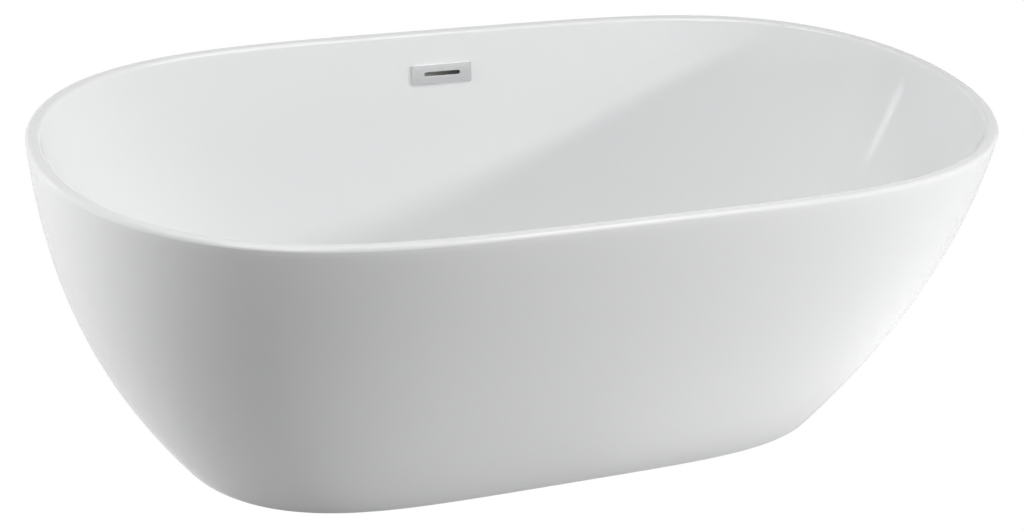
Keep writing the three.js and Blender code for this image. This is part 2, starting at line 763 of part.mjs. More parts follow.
function makeOverflowBox() {
  const low = -BOX.height / 2;
  const body = wallPlate(roundedRectangle(BOX.width, BOX.height, 10), BOX.front, BOX.front + BOX.depth);
  const pocket = wallPlate(roundedRectangle(98, 22, 10.9), BOX.front - 2, BOX.front + BOX.depth - 2);
  const pegHoles = [-PEG.x, PEG.x].map((x) => (
    disc(PEG.radius + 0.3, 0, BOX.front + 2, 8).rotateX(-Math.PI / 2).translate(x, 0, 0)
  ));
  const fall = block([-24, BOX.front + 3, low - 8], [24, BOX.front + BOX.depth - 2, 0]);
  const shoulder = 10;
  const outer = [DUCT.width / 2, DUCT.thickness / 2];
  const inner = outer.map((value) => value - DUCT.wall);
  const duct = block([-outer[0], -outer[1], -DUCT_LENGTH], [outer[0], outer[1], shoulder]);
  const passage = block([-inner[0], -inner[1], 4 - DUCT_LENGTH], [inner[0], inner[1], shoulder - 4]);
  const spigot = disc(SPIGOT_RADIUS, -DUCT_LENGTH - 22, 1 - DUCT_LENGTH, SMALL_SIDES);
  const spigotBore = disc(SPIGOT_BORE - 1, -DUCT_LENGTH - 24, 6 - DUCT_LENGTH, SMALL_SIDES);
  const shell = join(toOverflowWall(body), alongDuct(duct), alongDuct(spigot));
  const voids = [pocket, fall, ...pegHoles].map((tool) => toOverflowWall(tool));
  add('overflow_box', cut(shell, ...voids, alongDuct(passage), alongDuct(spigotBore)), finish.whitePlastic);
}

function ductPoint(distance) {
  const point = new THREE.Vector2(...DUCT.bottom).addScaledVector(ductRun.clone().normalize(), distance);
  return new THREE.Vector3(0, point.x, point.y);
}

function makeHose() {
  const lowerEnd = 30;
  const path = new THREE.CatmullRomCurve3([
    ductPoint(1),
    ductPoint(22),
    new THREE.Vector3(0, 330, 256),
    new THREE.Vector3(0, 311, 212),
    new THREE.Vector3(0, 291, 170),
    new THREE.Vector3(0, 262, 125),
    new THREE.Vector3(0, 225, 92),
    new THREE.Vector3(0, 180, 70),
    new THREE.Vector3(0, 130, SIDE_PORT_HEIGHT + 1),
    new THREE.Vector3(0, 90, SIDE_PORT_HEIGHT),
    new THREE.Vector3(0, lowerEnd + 30, SIDE_PORT_HEIGHT),
    new THREE.Vector3(0, lowerEnd, SIDE_PORT_HEIGHT),
  ]);
  const section = new THREE.Shape();
  section.absarc(0, 0, HOSE_RADIUS, 0, 2 * Math.PI);
  const bore = new THREE.Path();
  bore.absarc(0, 0, HOSE_BORE, 0, 2 * Math.PI);
  section.holes.push(bore);
  const settings = { steps: 30, curveSegments: 4, extrudePath: path };
  add('overflow_hose', outward(new THREE.ExtrudeGeometry(section, settings)), finish.greyHose);
}

function makeHoseClips() {
  const clip = { inner: HOSE_RADIUS + 0.4, outer: HOSE_RADIUS + 1.4, width: 8 };
  const upper = ring(clip.inner, clip.outer, -DUCT_LENGTH - 16, -DUCT_LENGTH - 16 + clip.width);
  add('hose_clip_upper', alongDuct(upper), finish.steel);
  const lower = ring(clip.inner, clip.outer, 44, 44 + clip.width);
  lower.rotateX(-Math.PI / 2).translate(0, 0, SIDE_PORT_HEIGHT);
  add('hose_clip_lower', lower, finish.steel);
}

makeBasin();
makeSkirt();
makeRimBond();
makeBoard();
makeRails();
makeRailScrews();
makeBars();
makeFeet();
makeDrainFlange();
makeDrainGasket();
makeWasteShoe();
makeTailpiece();
makeCartridge();
makeSpring();
makeStopper();
makeOverflowPlate();
makeOverflowGasket();
makeOverflowBox();
makeHose();
makeHoseClips();

export default tub;
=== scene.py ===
"""Freestanding bathtub: its finished look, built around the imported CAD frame.

Pieces are drawn in millimetres and become metres in to_mesh. +X runs along the tub,
+Y towards the wall with the overflow, +Z up, and the floor is at zero.
"""
import math
from collections import namedtuple

import bmesh
import bpy
import numpy as np
from mathutils import Matrix, Vector


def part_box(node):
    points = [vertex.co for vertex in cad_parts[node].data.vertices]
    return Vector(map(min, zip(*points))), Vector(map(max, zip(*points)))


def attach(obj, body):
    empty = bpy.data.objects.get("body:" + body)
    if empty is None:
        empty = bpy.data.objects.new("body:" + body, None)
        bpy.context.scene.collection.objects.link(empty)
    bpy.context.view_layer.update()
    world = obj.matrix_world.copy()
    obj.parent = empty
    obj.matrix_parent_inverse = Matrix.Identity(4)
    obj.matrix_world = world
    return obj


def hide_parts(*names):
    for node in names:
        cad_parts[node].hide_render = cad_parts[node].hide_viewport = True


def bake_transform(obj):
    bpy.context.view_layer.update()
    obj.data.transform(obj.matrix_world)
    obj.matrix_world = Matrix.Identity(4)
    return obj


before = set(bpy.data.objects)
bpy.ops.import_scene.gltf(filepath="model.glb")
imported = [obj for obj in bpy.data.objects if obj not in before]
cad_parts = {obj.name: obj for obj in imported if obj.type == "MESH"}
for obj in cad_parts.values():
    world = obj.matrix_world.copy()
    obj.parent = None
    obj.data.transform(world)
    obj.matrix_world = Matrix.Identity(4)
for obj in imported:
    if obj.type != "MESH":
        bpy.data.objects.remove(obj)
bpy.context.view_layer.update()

MM = 0.001

# ---- Driving dimensions ------------------------------------------------------------

LENGTH = 1700
WIDTH = 850
HEIGHT = 570
BASE_LENGTH = 1194
BASE_WIDTH = 500
SEAM = 0.15

# Rim: its outer rounding stops short of upright, in degrees, at the seam with the skirt,
# and its inner one runs into a wall that leans by RIM_INNER_LEAN.
RIM_WIDTH = 24
RIM_EDGE_HEIGHT = 564
RIM_EDGE_RADIUS = 9
RIM_EDGE_BREAK = 20
RIM_INNER_RADIUS = 8
RIM_INNER_LEAN = 13

# Plan outline |x/a|^p + |y/b|^q = 1, and how the skirt swells with height.
RIM_END_POWER = 4.07
BASE_END_POWER = 4.54
SIDE_POWER = 2
END_STRAIGHT_SHARE = 1 / 3
END_EASE = 2.43
SIDE_STRAIGHT_SHARE = 0
SIDE_EASE = 1.35

# Basin wall: one cubic curve from the floor's edge to the rim.
FLOOR_HEIGHT = 128
FLOOR_UNDERSIDE = 118
DRAIN_LAND_HEIGHT = 124
DRAIN_LAND_RADIUS = 50
DRAIN_BORE = 19.5
DRAIN_LIP = 12.4
WALL_HALF_LENGTH = (530, 650, 785, LENGTH / 2 - RIM_WIDTH)
WALL_HALF_WIDTH = (190, 285, 372, WIDTH / 2 - RIM_WIDTH)
WALL_SHOULDER_HEIGHT = 412
WALL_TOP = HEIGHT - RIM_INNER_RADIUS
WALL_THICKNESS = 6
SKIRT_THICKNESS = 5
BASE_FLANGE = 45
BASE_FLANGE_THICKNESS = 5
BASE_ROUNDING = 3

# Overflow: its plate lies on the flat between two steps of the CAD model's wall, and its
# duct runs down between the shells. Points are (half width, height).
CAD_WALL_STEPS = 12
OVERFLOW_STEP = 10
OVERFLOW_SHARE = 0.45
PLATE_SIZE = (116, 35)
SLOT_SIZE = (70, 7.5)
WALL_HOLE = (96, 20, 9.9)
GASKET_SIZE = (120, 44)
GASKET_HOLE = (98, 22)
DUCT_TOP = Vector((395.4, 470))
DUCT_BOTTOM = Vector((345.3, 303))
PORT_HEIGHT = 60

# Fineness of the meshes.
AROUND = 288
QUARTER_SAMPLES = 160
WALL_STEPS = 64
SKIRT_STEPS = 60
FILLET_STEPS = 8
CORNER_STEPS = 4
SIDES = 72
SHARP_ANGLE = math.radians(38)

# Radius of a nut's flat round face, as a share of its width across flats.
NUT_FACE = 0.475

Section = namedtuple("Section", "a b p q")

# ---- Mesh helpers ------------------------------------------------------------------


def to_mesh(name, shape, back_from=None):
    """A clean mesh in metres from (points, faces) in millimetres.

    Points from number back_from on are the rough back of a shell, marked in lay_up."""
    points, faces = shape
    mesh = bpy.data.meshes.new(name)
    mesh.from_pydata((np.asarray(points) * MM).tolist(), [], faces)
    if back_from is not None:
        layer = mesh.attributes.new("lay_up", "FLOAT", "POINT")
        marks = np.zeros(len(points), np.float32)
        marks[back_from:] = 1
        layer.data.foreach_set("value", marks)
    return cleaned(mesh)


def cleaned(mesh):
    """Merges doubled points, turns the faces out and shades smooth up to a sharp angle."""
    edit = bmesh.new()
    edit.from_mesh(mesh)
    bmesh.ops.remove_doubles(edit, verts=edit.verts, dist=2e-6)
    bmesh.ops.dissolve_degenerate(edit, edges=edit.edges, dist=1e-7)
    bmesh.ops.recalc_face_normals(edit, faces=edit.faces)
    edit.to_mesh(mesh)
    edit.free()
    mesh.shade_smooth()
    mesh.set_sharp_from_angle(angle=SHARP_ANGLE)
    return mesh


def evaluated(mesh, set_up):
    """The mesh after the modifiers that set_up gives to an object that holds it."""
    holder = bpy.data.objects.new("holder", mesh)
    bpy.context.scene.collection.objects.link(holder)
    helpers = set_up(holder) or []
    bpy.context.view_layer.update()
    graph = bpy.context.evaluated_depsgraph_get()
    result = bpy.data.meshes.new_from_object(holder.evaluated_get(graph))
    for unused in [holder, *helpers]:
        bpy.data.objects.remove(unused)
    return result


def carved(mesh, *cutters):
    """The mesh with each cutter mesh taken out of it."""

    def set_up(holder):
        helpers = []
        for cutter in cutters:
            helper = bpy.data.objects.new("cutter", cutter)
            bpy.context.scene.collection.objects.link(helper)
            cut = holder.modifiers.new("cut", "BOOLEAN")
            cut.operation = "DIFFERENCE"
            cut.solver = "EXACT"
            cut.object = helper
            helpers.append(helper)
        return helpers

    return cleaned(evaluated(mesh, set_up))


def bevelled(mesh, width, segments=3):
    """The mesh with its sharp edges rounded, width in millimetres."""

    def set_up(holder):
        bevel = holder.modifiers.new("bevel", "BEVEL")
        bevel.width = width * MM
        bevel.segments = segments
        bevel.limit_method = "ANGLE"
        bevel.angle_limit = math.radians(40)
        bevel.harden_normals = False

    return cleaned(evaluated(mesh, set_up))


def merged(*meshes):
    """One mesh that holds all of them."""
    edit = bmesh.new()
    for mesh in meshes:
        edit.from_mesh(mesh)
    result = bpy.data.meshes.new(meshes[0].name)
    edit.to_mesh(result)
    edit.free()
    result.shade_smooth()
    result.set_sharp_from_angle(angle=SHARP_ANGLE)
    return result


def moved(shape, matrix):
    """The shape carried by a 4 by 4 matrix in millimetres."""
    points, faces = shape
    carry = np.array(matrix)
    return np.asarray(points) @ carry[:3, :3].T + carry[:3, 3], faces


def shifted(shape, x=0, y=0, z=0):
    return moved(shape, Matrix.Translation((x, y, z)))


def turned(shape, degrees, axis):
    return moved(shape, Matrix.Rotation(math.radians(degrees), 4, axis))


def loft(rings, ends="looped"):
    """Skin over rings of equal point count; its ends are looped, capped or open."""
    count = len(rings[0])
    faces = []
    spans = len(rings) if ends == "looped" else len(rings) - 1
    for k in range(spans):
        here = k * count
        above = ((k + 1) % len(rings)) * count
        for i in range(count):
            j = (i + 1) % count
            faces.append((here + i, here + j, above + j, above + i))
    if ends == "capped":
        last = (len(rings) - 1) * count
        faces.append(tuple(reversed(range(count))))
        faces.append(tuple(range(last, last + count)))
    return np.concatenate(rings), faces


def rounded(corners, radius, closed=True):
    """Flat outline with each corner (x, y) or (x, y, own radius) eased into a curve."""
    flat = [Vector(corner[:2]) for corner in corners]
    curve = []
    for i, here in enumerate(flat):
        if not closed and i in (0, len(flat) - 1):
            curve.append(here)
            continue
        own = corners[i][2] if len(corners[i]) > 2 else radius
        before = flat[i - 1] - here
        after = flat[(i + 1) % len(flat)] - here
        reach = min(own, 0.48 * before.length, 0.48 * after.length)
        start = here + before.normalized() * reach
        end = here + after.normalized() * reach
        for k in range(CORNER_STEPS + 1):
            t = k / CORNER_STEPS
            curve.append((1 - t) ** 2 * start + 2 * t * (1 - t) * here + t * t * end)
    return [tuple(point) for point in curve]


def lathe(corners, radius=0.5, sides=SIDES):
    """Round piece about Z from (radius, height) corners; closed unless it ends on the axis."""
    on_axis = corners[0][0] == 0
    profile = rounded(corners, radius, closed=not on_axis)
    rings = [at_height(circle(reach, sides), height) for reach, height in profile]
    return loft(rings, "open" if on_axis else "looped")


def rounded_rectangle(width, height, corner, count=96):
    """Evenly spaced points round a rectangle with arcs at its corners."""
    loop = [(width / 2, 0)]
    for k, (x, y) in enumerate([(1, 1), (-1, 1), (-1, -1), (1, -1)]):
        for degrees in np.linspace(90 * k, 90 * k + 90, 9):
            angle = math.radians(degrees)
            reach_x = x * (width / 2 - corner) + corner * math.cos(angle)
            reach_y = y * (height / 2 - corner) + corner * math.sin(angle)
            loop.append((reach_x, reach_y))
    loop.append((width / 2, 0))
    return evenly(np.array(loop), count)


def evenly(loop, count):
    """count points spaced evenly along a closed polyline whose last point is its first."""
    step = np.linalg.norm(np.diff(loop, axis=0), axis=1)
    along = np.concatenate([[0], np.cumsum(step)])
    where = np.linspace(0, along[-1], count, endpoint=False)
    return np.stack([np.interp(where, along, loop[:, k]) for k in range(2)], axis=1)


def at_height(flat, height):
    return np.column_stack([flat, np.full(len(flat), height)])


def extruded(corners, length, radius=0.4):
    """Flat (x, y) outline drawn out along Z, centred on zero."""
    flat = np.array(rounded(corners, radius))
    return loft([at_height(flat, -length / 2), at_height(flat, length / 2)], "capped")


def block(width, depth, height):
    corners = [(-width / 2, -depth / 2), (width / 2, -depth / 2)]
    corners += [(width / 2, depth / 2), (-width / 2, depth / 2)]
    return extruded(corners, height)


def sweep(path, radii, sides, normal):
    """Rings of a tube along path, with one radius at each of its points."""
    angle = np.linspace(0, 2 * math.pi, sides, endpoint=False)[:, None]
    tangents = np.gradient(path, axis=0)
    rings = []
    for point, tangent, reach in zip(path, tangents, radii):
        tangent = tangent / np.linalg.norm(tangent)
        normal = normal - tangent * np.dot(normal, tangent)
        normal = normal / np.linalg.norm(normal)
        side = np.cross(tangent, normal)
        rings.append(point + reach * (np.cos(angle) * normal + np.sin(angle) * side))
    return rings


def hexagon_reach(across_flats, angle):
    """How far the hexagon's side is from its middle, in a direction."""
    from_flat = (angle + math.pi / 6) % (math.pi / 3) - math.pi / 6
    return across_flats / 2 / math.cos(from_flat)


def hexagon_ring(across_flats, bound, height, chamfer=0, sides=SIDES):
    """Hexagon cut off by a circle; where it passes the circle's edge, chamfer lowers it."""
    points = []
    for i in range(sides):
        angle = 2 * math.pi * i / sides
        reach = min(hexagon_reach(across_flats, angle), bound)
        drop = max(0, reach - across_flats * NUT_FACE) * chamfer
        points.append((reach * math.cos(angle), reach * math.sin(angle), height - drop))
    return np.array(points)


def hexagon_body(across_flats, low, high, bore):
    """Nut or flange with chamfered corners and a bore whose edges are eased."""
    corner = across_flats / math.sqrt(3)
    tilt = math.tan(math.radians(30))
    edge, lead = 0.35, 1.2
    face = across_flats * NUT_FACE
    under = [(bore, low + lead), (bore + lead, low), (face, low)]
    over = [(face, high), (bore + lead, high), (bore, high - lead)]
    rings = [at_height(circle(reach), height) for reach, height in under]
    rings.append(hexagon_ring(across_flats - edge, corner, low, -tilt))
    rings.append(hexagon_ring(across_flats, corner, low + edge, -tilt))
    rings.append(hexagon_ring(across_flats, corner, high - edge, tilt))
    rings.append(hexagon_ring(across_flats - edge, corner, high, tilt))
    rings += [at_height(circle(reach), height) for reach, height in over]
    return loft(rings)


def circle(reach, sides=SIDES):
    angle = np.linspace(0, 2 * math.pi, sides, endpoint=False)
    return np.stack([reach * np.cos(angle), reach * np.sin(angle)], axis=1)


def threaded_rod(radius, low, high, pitch, depth, sides=36, steps=8):
    """Rod with a right-hand thread that runs out at both ends."""
    rows = int((high - low) / pitch * steps)
    angle = np.linspace(0, 2 * math.pi, sides, endpoint=False)
    rings = []
    for height in np.linspace(low, high, rows):
        phase = (height / pitch - angle / (2 * math.pi)) % 1
        groove = np.clip(np.abs(2 * phase - 1) * 1.5 - 0.25, 0, 1)
        run_out = min(1, (height - low) / pitch, (high - height) / pitch)
        reach = radius - depth * np.where(run_out < 1, 1 - (1 - groove) * run_out, groove)
        rings.append(at_height(circle(reach, sides), height))
    return loft(rings, "capped")


# ---- Places, read from the frame ---------------------------------------------------


class Place:
    """Box of a CAD node in millimetres."""

    def __init__(self, node):
        self.low, self.high = (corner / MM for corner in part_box(node))
        self.middle = (self.low + self.high) / 2
        self.size = self.high - self.low

    def extents(self):
        """Lowest and highest Z and radius, of a piece that is round about Z."""
        return self.low.z, self.high.z, self.size.x / 2


def add_piece(name, made, finish, body="root", replaced=()):
    """A finished piece from a mesh or a shape: its material, the body it rides on
    and the nodes it shows."""
    mesh = to_mesh(name, made) if isinstance(made, tuple) else made
    obj = bpy.data.objects.new(name, mesh)
    bpy.context.scene.collection.objects.link(obj)
    mesh.materials.clear()
    mesh.materials.append(finishes[finish])
    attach(obj, body)
    if replaced:
        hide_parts(*replaced)
    return obj


# ---- Materials ---------------------------------------------------------------------


class Tree:
    """The node tree of a material or a world."""

    def __init__(self, owner):
        owner.use_nodes = True
        self.tree = owner.node_tree

    def node(self, kind, settings=None, **inputs):
        """Adds a node; an input may be a value or another node's output."""
        made = self.tree.nodes.new("ShaderNode" + kind)
        for key, value in (settings or {}).items():
            setattr(made, key, value)
        for key, value in inputs.items():
            self.feed(made.inputs[key.replace("_", " ")], value)
        return made

    def feed(self, socket, value):
        if isinstance(value, bpy.types.NodeSocket):
            self.tree.links.new(value, socket)
        else:
            socket.default_value = value

    def mix_shader(self, share, first, second):
        made = self.node("MixShader", Fac=share)
        self.feed(made.inputs[1], first)
        self.feed(made.inputs[2], second)
        return made.outputs[0]


class Finish(Tree):
    """A Principled material whose textures follow the object's own coordinates."""

    def __init__(self, name, **sockets):
        self.material = bpy.data.materials.new(name)
        super().__init__(self.material)
        self.shader = self.tree.nodes["Principled BSDF"]
        for socket, value in sockets.items():
            self.shader.inputs[socket.replace("_", " ")].default_value = value
        self.place = self.node("TexCoord").outputs["Object"]

    def stretch(self, x=1, y=1, z=1):
        """Object coordinates scaled along each axis."""
        mapping = self.node("Mapping", Vector=self.place)
        mapping.inputs["Scale"].default_value = (x, y, z)
        return mapping.outputs["Vector"]

    def noise(self, scale, detail=2, where=None):
        where = where or self.place
        made = self.node("TexNoise", Vector=where, Scale=scale, Detail=detail)
        return made.outputs["Fac"]

    def cells(self, scale, output="Distance", where=None):
        made = self.node("TexVoronoi", Vector=where or self.place, Scale=scale)
        return made.outputs[output]

    def bands(self, scale, direction, distortion=0):
        settings = {"wave_type": "BANDS", "bands_direction": direction}
        made = self.node("TexWave", settings, Vector=self.place, Scale=scale)
        made.inputs["Distortion"].default_value = distortion
        return made.outputs["Fac"]

    def spread(self, value, low, high):
        """A 0 to 1 texture spread over low to high."""
        made = self.node("MapRange", Value=value)
        made.inputs["To Min"].default_value = low
        made.inputs["To Max"].default_value = high
        return made.outputs["Result"]

    def blend(self, share, first, second, colours=False):
        """first where share is 0 and second where it is 1."""
        made = self.node("Mix", {"data_type": "RGBA" if colours else "FLOAT"})
        start = 6 if colours else 2
        self.feed(made.inputs[0], share)
        self.feed(made.inputs[start], first)
        self.feed(made.inputs[start + 1], second)
        return made.outputs[2 if colours else 0]

    def sum(self, first, second, share=0.5):
        """first plus share of second."""
        part = self.node("Math", {"operation": "MULTIPLY"})
        self.feed(part.inputs[0], second)
        part.inputs[1].default_value = share
        total = self.node("Math", {"operation": "ADD"})
        self.feed(total.inputs[0], first)
        self.feed(total.inputs[1], part.outputs[0])
        return total.outputs[0]

    def tones(self, value, first, second):
        """Colour between two tones, by a texture."""
        ramp = self.node("ValToRGB", Fac=value)
        ramp.color_ramp.elements[0].color = (*first, 1)
        ramp.color_ramp.elements[1].color = (*second, 1)
        return ramp.outputs["Color"]

    def colour(self, value, first, second):
        self.feed(self.shader.inputs["Base Color"], self.tones(value, first, second))

    def roughness(self, value, low, high):
        self.feed(self.shader.inputs["Roughness"], self.spread(value, low, high))

    def bump(self, value, height, strength=1.0):
        """Relief of the given height in millimetres."""
        made = self.node("Bump", Height=value, Strength=strength, Distance=height * MM)
        self.feed(self.shader.inputs["Normal"], made.outputs["Normal"])
        return made


def acrylic():
    """Glossy sheet with a faint ripple; its hidden back is rough glass-fibre lay-up."""
    made = Finish("acrylic", IOR=1.49)
    back = made.node("Attribute", {"attribute_name": "lay_up"}).outputs["Fac"]
    ripple = made.sum(made.noise(9, 1), made.noise(120, 2), 0.04)
    strands = made.sum(made.noise(60, 6, made.stretch(1, 1, 4)), made.cells(140), 0.5)
    face = made.tones(made.noise(2.5, 1), (0.87, 0.875, 0.88), (0.89, 0.893, 0.896))
    rear = made.tones(strands, (0.60, 0.54, 0.38), (0.82, 0.79, 0.68))
    made.feed(made.shader.inputs["Base Color"], made.blend(back, face, rear, colours=True))
    gloss = made.spread(made.noise(35, 3), 0.07, 0.12)
    made.feed(made.shader.inputs["Roughness"], made.blend(back, gloss, 0.62))
    made.bump(made.blend(back, made.spread(ripple, 0, 0.05), strands), 1.2)
    return made.material


def resin():
    made = Finish("resin", IOR=1.54)
    clots = made.sum(made.noise(45, 5), made.cells(90), 0.4)
    made.colour(clots, (0.50, 0.43, 0.27), (0.76, 0.70, 0.52))
    made.roughness(made.noise(80), 0.30, 0.6)
    made.bump(clots, 1.0)
    return made.material


def board():
    """Birch plywood: grain along X on its faces, and plies seen on its edges."""
    made = Finish("board", IOR=1.45)
    grain = made.noise(30, 8, made.stretch(0.12, 1, 1))
    plies = made.bands(210, "Z", 0.3)
    made.colour(made.sum(grain, plies, 0.35), (0.38, 0.23, 0.11), (0.74, 0.55, 0.33))
    made.roughness(grain, 0.55, 0.8)
    made.bump(made.noise(260, 4, made.stretch(0.08, 1, 1)), 0.15)
    return made.material


def galvanised_steel():
    """Hot-dip zinc with its spangle of crystals."""
    made = Finish("galvanised_steel", Metallic=1.0)
    spangle = made.cells(75, "Color")
    shade = made.node("RGBToBW", Color=spangle).outputs["Val"]
    made.colour(made.sum(shade, made.noise(14, 4), 0.5), (0.34, 0.35, 0.36), (0.66, 0.68, 0.69))
    made.roughness(shade, 0.34, 0.58)
    made.bump(made.noise(220, 3), 0.06)
    return made.material


def zinc_plate():
    made = Finish("zinc_plate", Metallic=1.0)
    made.colour(made.noise(60, 3), (0.56, 0.58, 0.55), (0.74, 0.75, 0.77))
    made.roughness(made.noise(190, 4), 0.18, 0.36)
    made.bump(made.noise(700, 2), 0.02)
    return made.material


def foot_rubber():
    made = Finish("foot_rubber", IOR=1.5)
    dust = made.noise(70, 6)
    made.colour(dust, (0.016, 0.016, 0.017), (0.060, 0.059, 0.057))
    made.roughness(dust, 0.55, 0.8)
    made.bump(made.noise(900, 3), 0.05)
    return made.material


def chrome():
    """Polished plate with the faint unevenness of the brass below it."""
    made = Finish("chrome", Metallic=1.0)
    made.colour(made.noise(25, 2), (0.90, 0.905, 0.91), (0.94, 0.945, 0.95))
    made.roughness(made.noise(300, 5), 0.05, 0.12)
    made.bump(made.sum(made.noise(70, 2), made.noise(1500, 1), 0.1), 0.01)
    return made.material


def brass():
    """Machined brass with turning marks."""
    made = Finish("brass", Metallic=1.0)
    marks = made.bands(900, "Z", 0.8)
    made.colour(made.sum(made.noise(90, 4), marks, 0.15), (0.52, 0.36, 0.13), (0.78, 0.60, 0.27))
    made.roughness(marks, 0.20, 0.34)
    made.bump(marks, 0.015)
    return made.material


def spring_steel():
    made = Finish("spring_steel", Metallic=1.0)
    made.colour(made.noise(150, 3), (0.48, 0.49, 0.50), (0.68, 0.69, 0.70))
    made.roughness(made.noise(400, 2), 0.16, 0.30)
    made.bump(made.noise(1600, 2), 0.01)
    return made.material


def seal_rubber():
    made = Finish("seal_rubber", IOR=1.5)
    bloom = made.noise(120, 5)
    made.colour(bloom, (0.022, 0.022, 0.023), (0.052, 0.052, 0.054))
    made.roughness(bloom, 0.45, 0.7)
    made.bump(made.noise(1400, 2), 0.02)
    return made.material


def white_plastic():
    """Moulded polypropylene with a fine spark-eroded grain."""
    made = Finish("white_plastic", IOR=1.49)
    made.colour(made.noise(20, 4), (0.72, 0.72, 0.68), (0.82, 0.82, 0.79))
    made.roughness(made.noise(160, 3), 0.34, 0.5)
    made.bump(made.noise(1300, 2), 0.03)
    return made.material


def grey_hose():
    made = Finish("grey_hose", IOR=1.52)
    made.colour(made.noise(55, 4), (0.26, 0.27, 0.28), (0.38, 0.39, 0.40))
    made.roughness(made.noise(110, 3), 0.36, 0.55)
    made.bump(made.noise(900, 2), 0.03)
    return made.material


MAKERS = [acrylic, resin, board, galvanised_steel, zinc_plate, foot_rubber]
MAKERS += [chrome, brass, spring_steel, seal_rubber, white_plastic, grey_hose]
finishes = {maker.__name__: maker() for maker in MAKERS}

# ---- Shells ------------------------------------------------------------------------


def outline(section, inset, height):
    """Plan outline at one height, moved inwards along its own normal by inset."""
    a, b, p, q = section
    rising_y = np.linspace(0, b * 0.5 ** (1 / q), QUARTER_SAMPLES, endpoint=False)
    falling_x = np.linspace(a * 0.5 ** (1 / p), 0, QUARTER_SAMPLES)
    x = np.concatenate([a * (1 - (rising_y / b) ** q) ** (1 / p), falling_x])
    y = np.concatenate([rising_y, b * (1 - (falling_x / a) ** p) ** (1 / q)])
    normal = np.stack([p * (x / a) ** (p - 1) / a, q * (y / b) ** (q - 1) / b], axis=1)
    normal /= np.linalg.norm(normal, axis=1)[:, None]
    quarter = np.stack([x, y], axis=1) - inset * normal
    half = np.concatenate([quarter, (quarter * (-1, 1))[-2::-1]])
    loop = np.concatenate([half, (half * (1, -1))[-2::-1]])
    return at_height(evenly(loop, AROUND), height)


def swell(t, straight, ease):
    return straight * t + (1 - straight) * (1 - (1 - t) ** ease)


def skirt_section(height):
    t = min(1, height / RIM_EDGE_HEIGHT)
    end = swell(t, END_STRAIGHT_SHARE, END_EASE)
    side = swell(t, SIDE_STRAIGHT_SHARE, SIDE_EASE)
    a = (BASE_LENGTH + (LENGTH - BASE_LENGTH) * end) / 2
    b = (BASE_WIDTH + (WIDTH - BASE_WIDTH) * side) / 2
    return Section(a, b, BASE_END_POWER + (RIM_END_POWER - BASE_END_POWER) * t, SIDE_POWER)


def bezier(control, t):
    s = 1 - t
    first = s**3 * control[0] + 3 * s * s * t * control[1]
    return first + 3 * s * t * t * control[2] + t**3 * control[3]


def wall_ring(t, thickness, floor):
    """Ring of the basin's wall, a share t of the way up its curve."""
    a = bezier(WALL_HALF_LENGTH, t) + RIM_WIDTH
    b = bezier(WALL_HALF_WIDTH, t) + RIM_WIDTH
    height = bezier((floor, floor, WALL_SHOULDER_HEIGHT, WALL_TOP), t)
    return outline(Section(a, b, RIM_END_POWER, SIDE_POWER), RIM_WIDTH - thickness, height)


def rim_arc(centre_inset, centre_height, radius, from_degrees, to_degrees):
    rim = skirt_section(RIM_EDGE_HEIGHT)
    rings = []
    for degrees in np.linspace(from_degrees, to_degrees, FILLET_STEPS + 1):
        angle = math.radians(degrees)
        inset = centre_inset - radius * math.cos(angle)
        rings.append(outline(rim, inset, centre_height + radius * math.sin(angle)))
    return rings


def floor_rings(edge, hole_height, hole_radius, land_height):
    """Rings from the floor's edge to the drain hole, falling to a flat round land."""
    land = at_height(circle(DRAIN_LAND_RADIUS, AROUND), land_height)
    rings = []
    for share in np.linspace(0, 1, 15)[1:]:
        ring = edge * (1 - share) + land * share
        fall = share * share * (3 - 2 * share)
        ring[:, 2] = edge[0, 2] * (1 - fall) + land_height * fall
        rings.append(ring)
    rings.append(at_height(circle(hole_radius + 1.5, AROUND), land_height))
    rings.append(at_height(circle(hole_radius, AROUND), hole_height))
    return rings


def basin_rings():
    """Rings down the inside from the rim's outer edge to the drain, then back underneath."""
    rim = skirt_section(RIM_EDGE_HEIGHT)
    outer_centre = RIM_EDGE_RADIUS * math.cos(math.radians(RIM_EDGE_BREAK))
    arc = rim_arc(outer_centre, HEIGHT - RIM_EDGE_RADIUS, RIM_EDGE_RADIUS, RIM_EDGE_BREAK, 90)
    rings = [outline(rim, 0.4, RIM_EDGE_HEIGHT - SEAM), *arc]
    inner_centre = RIM_WIDTH - RIM_INNER_RADIUS / math.cos(math.radians(RIM_INNER_LEAN))
    for inset in np.linspace(outer_centre, inner_centre, 5)[1:-1]:
        rings.append(outline(rim, inset, HEIGHT))
    rings += rim_arc(inner_centre, WALL_TOP, RIM_INNER_RADIUS, 90, 180 - RIM_INNER_LEAN)
    for k in range(WALL_STEPS, -1, -1):
        rings.append(wall_ring(k / WALL_STEPS, 0, FLOOR_HEIGHT))
    hole = Place("drain_flange").size.x / 2 - DRAIN_LIP
    rings += floor_rings(rings[-1], DRAIN_LAND_HEIGHT - 1.5, hole, DRAIN_LAND_HEIGHT)
    front = len(rings)
    for k in range(WALL_STEPS + 1):
        rings.append(wall_ring(k / WALL_STEPS, WALL_THICKNESS, FLOOR_UNDERSIDE))
    underside = floor_rings(rings[front], FLOOR_UNDERSIDE, hole, FLOOR_UNDERSIDE)
    rings[front:front] = reversed(underside)
    rings.append(outline(rim, RIM_WIDTH - WALL_THICKNESS, RIM_EDGE_HEIGHT - 0.5))
    rings.append(outline(rim, RIM_WIDTH - WALL_THICKNESS - 1, RIM_EDGE_HEIGHT))
    rings.append(outline(rim, 1, RIM_EDGE_HEIGHT))
    return rings, front


